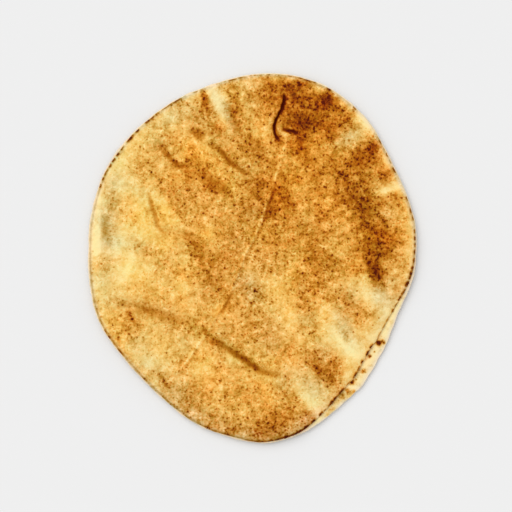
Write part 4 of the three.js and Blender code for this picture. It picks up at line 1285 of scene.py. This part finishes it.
def crust_material(settings):
    """Baked crust: a tone from the toast attribute, specks and grain, on a ramp of colours."""
    material, tree, shader = new_material("baked_crust")
    coordinates = tree.nodes.new("ShaderNodeTexCoord").outputs["Object"]
    place = vector_math(tree, "MULTIPLY", coordinates, (1 / MM,) * 3)
    toast, shade, dull, yellow = (
        add_node(tree, "ShaderNodeAttribute", attribute_name=name).outputs["Fac"] for name in TONES)
    lively = math_node(tree, "MULTIPLY", map_range(tree, toast, (0.1, 0.5), (0.28, 0.9)),
                       map_range(tree, shade, (0.05, 0.4), (1.0, 0.45)))
    detail, relief = crust_detail(tree, place, toast, settings)
    # Toast plus the shade attribute, much of which is painted shade, and the fine detail
    tone = math_node(tree, "MULTIPLY_ADD", detail, lively, math_node(tree, "ADD", toast, shade))

    drift = math_node(tree, "MULTIPLY", noise(tree, place, 1.6, 1.0, 0.5), 1.1)
    drift = math_node(tree, "MULTIPLY_ADD", noise(tree, place, 5.5, 4.0, 1.0), 2.0, drift)
    drift = math_node(tree, "MULTIPLY_ADD", noise(tree, place, 20.0, 1.0, 0.5), 0.7, drift)
    drift = map_range(tree, drift, (-0.45, 0.45), (-0.5, 0.5))
    drift = math_node(tree, "MULTIPLY_ADD", drift, lively, 0.5)
    tint = blended(tree, drift, WARM_TINT, COOL_TINT)
    colour = blended(tree, 1.0, colour_ramp(tree, tone, settings), tint, blend_type="MULTIPLY")
    # Greying, in places painted shade, and yellowness tint the colour
    dull = math_node(tree, "MULTIPLY", dull, map_range(tree, tone, (0.0, 0.3), (0.35, 1.0)))
    greying = vector_math(tree, "MULTIPLY_ADD", GREY_AND_SHADE_TINT, dull, (1.0, 1.0, 1.0))
    greying = vector_math(tree, "MULTIPLY_ADD", YELLOW_TINT, yellow, greying)
    colour = blended(tree, 1.0, colour, greying, blend_type="MULTIPLY")
    bump = add_node(tree, "ShaderNodeBump",
                    {"Strength": 0.6, "Distance": settings.grain_depth, "Height": relief})
    tree.links.new(colour, shader.inputs["Base Color"])
    tree.links.new(map_range(tree, tone, (0.1, 0.9), (0.9, 0.66)), shader.inputs["Roughness"])
    tree.links.new(bump.outputs[0], shader.inputs["Normal"])
    shader.inputs["Specular IOR Level"].default_value = 0.06
    return material


# ---- Pieces ----------------------------------------------------------------------------------


def add_object(name, data, material=None):
    """A new object in the scene, at the origin."""
    thing = bpy.data.objects.new(name, data)
    bpy.context.scene.collection.objects.link(thing)
    if material:
        data.materials.append(material)
    return thing


def strewn(name, tree, settings, x, y, z, attributes, closed=False):
    """An object of lumps that a tree sets on points, or along a closed line through them."""
    crust = bpy.data.objects["crust"]
    shift_x, shift_y = crust["middle"]
    edges = [(k, (k + 1) % len(x)) for k in range(len(x))] if closed else []
    place = np.column_stack([x - shift_x, y - shift_y, z])
    thing = add_object(name, new_mesh(name, place, edges, [], attributes))
    values = {key.capitalize(): getattr(settings, key) for key in settings.__annotations__}
    made_plain(thing, tree, {"Crust": crust, "Material": crust.data.materials[0], **values})
    return thing


class PitaCrustSettings(PropertyGroup):
    """Colours and finish of the crust."""

    pale: FloatVectorProperty(
        name="Pale", description="Crust that the oven hardly coloured", subtype="COLOR", size=4,
        min=0, max=1, default=albedo(254, 231, 157))
    straw: FloatVectorProperty(
        name="Straw", description="Lightly baked crust", subtype="COLOR", size=4, min=0, max=1,
        default=albedo(244, 197, 109))
    golden: FloatVectorProperty(
        name="Golden", description="Golden crust", subtype="COLOR", size=4, min=0, max=1,
        default=albedo(224, 162, 72))
    toasted: FloatVectorProperty(
        name="Toasted", description="Light brown crust", subtype="COLOR", size=4, min=0, max=1,
        default=albedo(198, 128, 38))
    brown: FloatVectorProperty(
        name="Brown", description="Brown crust", subtype="COLOR", size=4, min=0, max=1,
        default=albedo(168, 94, 8))
    dark: FloatVectorProperty(
        name="Dark", description="Dark brown crust", subtype="COLOR", size=4, min=0, max=1,
        default=albedo(136, 61, 0))
    char: FloatVectorProperty(
        name="Char", description="Nearly burnt crust", subtype="COLOR", size=4, min=0, max=1,
        default=albedo(88, 26, 0))
    mottling: FloatProperty(
        name="Mottling", description="Strength of the uneven colour of about 5 mm", default=2.0,
        min=0, max=4)
    graininess: FloatProperty(
        name="Graininess", description="Strength of the finest uneven colour", default=0.36, min=0,
        max=4)
    speck_tone: FloatProperty(
        name="Speck tone", description="How much darker the small specks are", default=0.56, min=0,
        max=1)
    speck_offset: FloatProperty(
        name="Speck offset", description="How much lighter the crust between specks is",
        default=0.15, min=0, max=0.5)
    grain_depth: FloatProperty(
        name="Grain depth", description="Depth of the finest unevenness", default=0.0005, min=0,
        unit="LENGTH", precision=5)


class PITA_OT_make_crust(Operator):
    """Make the crust: both leaves of the loaf as one closed skin, with its creases and toast"""

    bl_idname = "pita.make_crust"
    bl_label = "Make crust"

    def execute(self, context):
        settings = context.scene.pita_crust
        mesh, middle = crust_mesh()
        crust = add_object("crust", mesh, crust_material(settings))
        crust["middle"] = middle
        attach(crust, BODY)
        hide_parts(NODE)
        return {"FINISHED"}


def blister_tree():
    """Scatters blisters where the crust is browner, and sets the large ones in their places."""
    tree, given, output = new_geometry_tree(
        "blisters", Object="Crust", Material="Material",
        Float="Spacing Density Smallest Largest Height Darkness", Int="Seed")
    seed = given["Seed"]
    crust = add_node(tree, "GeometryNodeObjectInfo", {"Object": given["Crust"]}).outputs["Geometry"]
    normal = tree.nodes.new("GeometryNodeInputNormal").outputs[0]
    upward = add_node(tree, "ShaderNodeSeparateXYZ", {0: normal}).outputs[2]
    clusters = add_node(tree, "ShaderNodeTexNoise",
                        {"Vector": position(tree), "Scale": CLUSTER_SCALE, "Detail": 1.0})
    brown = map_range(tree, attribute_value(tree, "toast"), (0.15, 0.75), (0.04, 1.0))
    crowd = map_range(tree, clusters.outputs[0], (0.4, 0.62), (0.15, 1.0))
    scattered = add_node(tree, "GeometryNodeDistributePointsOnFaces", {
        "Mesh": crust, "Selection": math_node(tree, "GREATER_THAN", upward, 0.7),
        "Distance Min": given["Spacing"], "Density Max": given["Density"],
        "Density Factor": math_node(tree, "MULTIPLY", brown, crowd), "Seed": seed},
        distribute_method="POISSON").outputs["Points"]
    share = math_node(tree, "POWER", random_value(tree, 0.0, 1.0, seed, 1), 2.0)
    size = map_range(tree, share, (0, 1), (given["Smallest"], given["Largest"]))
    placed = add_node(tree, "GeometryNodeMeshToPoints", {"Mesh": given["Geometry"]}).outputs[0]
    dropped = add_node(tree, "GeometryNodeRaycast", {"Target Geometry": crust})
    placed = add_node(tree, "GeometryNodeSetPosition",
                      {"Geometry": placed, "Position": dropped.outputs["Hit Position"]}).outputs[0]
    points = tree.nodes.new("GeometryNodeJoinGeometry")
    tree.links.new(stored(tree, scattered, "size", size), points.inputs[0])
    tree.links.new(placed, points.inputs[0])

    surface = add_node(tree, "GeometryNodeSampleNearestSurface", {"Mesh": crust, "Value": normal},
                       data_type="FLOAT_VECTOR").outputs[0]
    radius = math_node(tree, "MULTIPLY", attribute_value(tree, "size"), 0.5)
    across = math_node(tree, "MULTIPLY", radius, random_value(tree, 0.65, 1.0, seed, 2))
    height = math_node(tree, "MULTIPLY", given["Height"], random_value(tree, 0.6, 1.3, seed, 3))
    finished(tree, output, {
        "Points": points.outputs[0], "Instance": bump_shape(tree, 8, 6),
        "Scale": combined(tree, radius, across, height), "Rotation": facing(tree, surface, seed, 4),
    }, given["Darkness"], BLISTER_WOBBLE, given["Material"])
    return tree


class PitaBlisterSettings(PropertyGroup):
    """Toasted blisters on the top."""

    spacing: FloatProperty(
        name="Least spacing", description="Least distance between two scattered blisters",
        default=0.0032, min=0.001, unit="LENGTH", precision=4)
    density: FloatProperty(
        name="Density", description="Scattered blisters to the square metre where they crowd most",
        default=32000, min=0)
    smallest: FloatProperty(
        name="Smallest", description="Diameter of the smallest scattered blister", default=0.0014,
        min=0.0002, unit="LENGTH", precision=4)
    largest: FloatProperty(
        name="Largest", description="Diameter of the largest scattered blister", default=0.0029,
        min=0.0002, unit="LENGTH", precision=4)
    height: FloatProperty(
        name="Height", description="How far a blister stands up from the crust", default=0.00022,
        min=0, unit="LENGTH", precision=5)
    darkness: FloatProperty(
        name="Darkness", description="How much darker the top of a blister is than the crust",
        default=0.30, min=0, max=1)
    seed: IntProperty(name="Seed", description="Another scatter for each number", default=7, min=0)


class PITA_OT_make_blisters(Operator):
    """Make the blisters: small toasted bubbles over the top, crowded where it is browner"""

    bl_idname = "pita.make_blisters"
    bl_label = "Make blisters"

    def execute(self, context):
        x, y, diameter = np.array(LARGE_BLISTERS).T
        spots = np.array([spot for spot in STRIP_SPOTS if spot[3] >= STRIP_BLISTER_TONE]).T
        tones = {name: np.append(value, 0 * spots[3]) for name, value in top_tones(x, y).items()}
        tones["toast"][len(x):] = STRIP_BLISTER_SHARE * spots[3]
        size = np.append(diameter, STRIP_BLISTER_SHARE * spots[2]) * MM
        x, y = np.append(x, spots[0]), np.append(y, spots[1])
        blisters = strewn("blisters", blister_tree(), context.scene.pita_blisters, x, y,
                          np.full(len(x), ABOVE), {"size": size, **tones})
        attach(blisters, BODY)
        return {"FINISHED"}


def seam_flake_tree():
    """Sets flakes of char along the seam where it is charred."""
    tree, given, output = new_geometry_tree(
        "seam flakes", Material="Material", Float="Spacing Smallest Largest Height", Int="Seed")
    seed = given["Seed"]
    line = add_node(tree, "GeometryNodeMeshToCurve", {"Mesh": given["Geometry"]}).outputs[0]
    even = add_node(tree, "GeometryNodeResampleCurve", {"Curve": line, "Length": given["Spacing"]},
                    mode="LENGTH")
    charred = math_node(tree, "GREATER_THAN", attribute_value(tree, "char"),
                        random_value(tree, 0.25, 0.9, seed, 1))
    radius = math_node(tree, "MULTIPLY", attribute_value(tree, "width"),
                       random_value(tree, 0.25, 0.5, seed, 2))
    radius = add_node(tree, "ShaderNodeClamp",
                      {0: radius, 1: given["Smallest"], 2: given["Largest"]}).outputs[0]
    across = math_node(tree, "MULTIPLY", radius, random_value(tree, 0.5, 0.9, seed, 3))
    tilt = combined(tree, *(random_value(tree, -0.3, 0.3, seed, salt) for salt in (5, 6)), 1.0)
    finished(tree, output, {
        "Points": even.outputs[0], "Selection": charred, "Instance": bump_shape(tree, 7, 5),
        "Scale": combined(tree, radius, across, given["Height"]),
        "Rotation": facing(tree, tilt, seed, 4),
    }, FLAKE_DARKNESS, FLAKE_WOBBLE, given["Material"])
    return tree


class PitaSeamSettings(PropertyGroup):
    """Flakes of char along the seam."""

    spacing: FloatProperty(
        name="Spacing", description="Distance from one flake to the next along the seam",
        default=0.0006, min=0.0002, unit="LENGTH", precision=4)
    smallest: FloatProperty(
        name="Smallest", description="Half the length of the smallest flake", default=0.0003,
        min=0.0001, unit="LENGTH", precision=4)
    largest: FloatProperty(
        name="Largest", description="Half the length of the largest flake", default=0.001,
        min=0.0001, unit="LENGTH", precision=4)
    height: FloatProperty(
        name="Height", description="How far a flake stands up", default=0.0003, min=0,
        unit="LENGTH", precision=4)
    seed: IntProperty(name="Seed", description="Another scatter for each number", default=3, min=0)


class PITA_OT_make_seam_flakes(Operator):
    """Make the seam flakes: blackened crumbs along the edge of the upper leaf"""

    bl_idname = "pita.make_seam_flakes"
    bl_label = "Make seam flakes"

    def execute(self, context):
        direction = directions(RING_GROWTH * TOP_RINGS)
        char, width = seam_char(direction)
        radius = seam_radius(direction) + rough_edge(direction, SEAM_SEED) - 0.25 * width
        x, y = at(radius, direction)
        values = {"char": char, "width": width * MM, "toast": 0.3 + 0.8 * char, "shade": 0.0,
                  "dull": SEAM_DULLNESS, "yellow": SEAM_YELLOWNESS}
        flakes = strewn("seam_flakes", seam_flake_tree(), context.scene.pita_seam, x, y,
                        top_height(x, y), values, closed=True)
        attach(flakes, BODY)
        return {"FINISHED"}


# ---- Stage -----------------------------------------------------------------------------------

# Side of the square that the camera sees, its middle, and the height at which it is that wide
FIELD_OF_VIEW = 0.4096
VIEW_MIDDLE = (0.0030, 0.00175)
RIM_HEIGHT = 0.004
SENSOR_WIDTH = 36.0
# How far the floor lies below the flat underside, so that the two faces never coincide
FLOOR_DROP = 0.0001
# Degrees by which the key lamp is spread and tipped, towards the upper left
KEY_SPREAD = 50
KEY_TILT = -32


class PitaStageSettings(PropertyGroup):
    """Floor, light and camera."""

    floor_colour: FloatVectorProperty(
        name="Floor colour", description="Colour of the plain floor", subtype="COLOR", size=4,
        min=0, max=1, default=(0.8, 0.8, 0.8, 1.0))
    floor_size: FloatProperty(
        name="Floor size", description="Side of the square floor", default=6.0, min=0.5,
        unit="LENGTH")
    key_strength: FloatProperty(
        name="Key strength", description="Strength of the large soft lamp", default=1.4, min=0)
    fill_strength: FloatProperty(
        name="Fill strength", description="Strength of the light from all round", default=0.76,
        min=0)
    lens: FloatProperty(
        name="Lens", description="Focal length in millimetres", default=100.0, min=10, max=300)


class PITA_OT_make_stage(Operator):
    """Make the pale floor, the soft light and the camera above the bread"""

    bl_idname = "pita.make_stage"
    bl_label = "Make stage"

    def execute(self, context):
        settings = context.scene.pita_stage
        self.make_floor(settings)
        self.make_light(context.scene, settings)
        self.make_camera(context.scene, settings)
        context.scene.view_settings.view_transform = "Standard"
        context.scene.view_settings.look = "None"
        return {"FINISHED"}

    def make_floor(self, settings):
        """A plain matt square under the bread."""
        half = settings.floor_size / 2
        mesh = bpy.data.meshes.new("floor")
        corners = [(-half, -half), (half, -half), (half, half), (-half, half)]
        mesh.from_pydata([(*corner, -FLOOR_DROP) for corner in corners], [], [(0, 1, 2, 3)])
        material, _, shader = new_material("plain_floor")
        shader.inputs["Base Color"].default_value = settings.floor_colour
        shader.inputs["Roughness"].default_value = 1.0
        shader.inputs["Specular IOR Level"].default_value = 0.0
        add_object("floor", mesh, material)

    def make_light(self, scene, settings):
        """Even light from all round and a large soft lamp from the upper left."""
        world = scene.world or bpy.data.worlds.new("studio")
        scene.world = world
        world.use_nodes = True
        background = world.node_tree.nodes["Background"]
        background.inputs["Color"].default_value = (1, 1, 1, 1)
        background.inputs["Strength"].default_value = settings.fill_strength
        lamp = bpy.data.lights.new("key", "SUN")
        lamp.energy = settings.key_strength
        lamp.angle = math.radians(KEY_SPREAD)
        key = add_object("key", lamp)
        key.rotation_euler = (math.radians(KEY_TILT), math.radians(KEY_TILT), 0)

    def make_camera(self, scene, settings):
        """A camera straight above."""
        data = bpy.data.cameras.new("camera")
        data.lens = settings.lens
        data.sensor_width = SENSOR_WIDTH
        data.clip_end = 20.0
        camera = add_object("camera", data)
        distance = FIELD_OF_VIEW * settings.lens / SENSOR_WIDTH
        camera.location = (*VIEW_MIDDLE, RIM_HEIGHT + distance)
        scene.camera = camera


class PITA_PT_panel(Panel):
    """The pieces of the pita bread in the sidebar"""

    bl_label = "Pita bread"
    bl_idname = "PITA_PT_panel"
    bl_space_type = "VIEW_3D"
    bl_region_type = "UI"
    bl_category = "Pita"

    def draw(self, context):
        for operator, group, _ in PIECES:
            column = self.layout.column(align=True)
            column.operator(operator.bl_idname)
            settings = getattr(context.scene, group)
            for name in settings.__annotations__:
                column.prop(settings, name)


PIECES = [
    (PITA_OT_make_crust, "pita_crust", PitaCrustSettings),
    (PITA_OT_make_blisters, "pita_blisters", PitaBlisterSettings),
    (PITA_OT_make_seam_flakes, "pita_seam", PitaSeamSettings),
    (PITA_OT_make_stage, "pita_stage", PitaStageSettings),
]


def register():
    """Registers the classes and the settings on the scene."""
    for operator, name, settings in PIECES:
        bpy.utils.register_class(settings)
        bpy.utils.register_class(operator)
        setattr(bpy.types.Scene, name, PointerProperty(type=settings))
    bpy.utils.register_class(PITA_PT_panel)


def unregister():
    """Takes the settings and the classes away again."""
    bpy.utils.unregister_class(PITA_PT_panel)
    for operator, name, settings in reversed(PIECES):
        delattr(bpy.types.Scene, name)
        bpy.utils.unregister_class(operator)
        bpy.utils.unregister_class(settings)


def main():
    """Makes every piece."""
    register()
    bpy.ops.pita.make_crust()
    bpy.ops.pita.make_blisters()
    bpy.ops.pita.make_seam_flakes()
    bpy.ops.pita.make_stage()


if __name__ == "__main__":
    main()
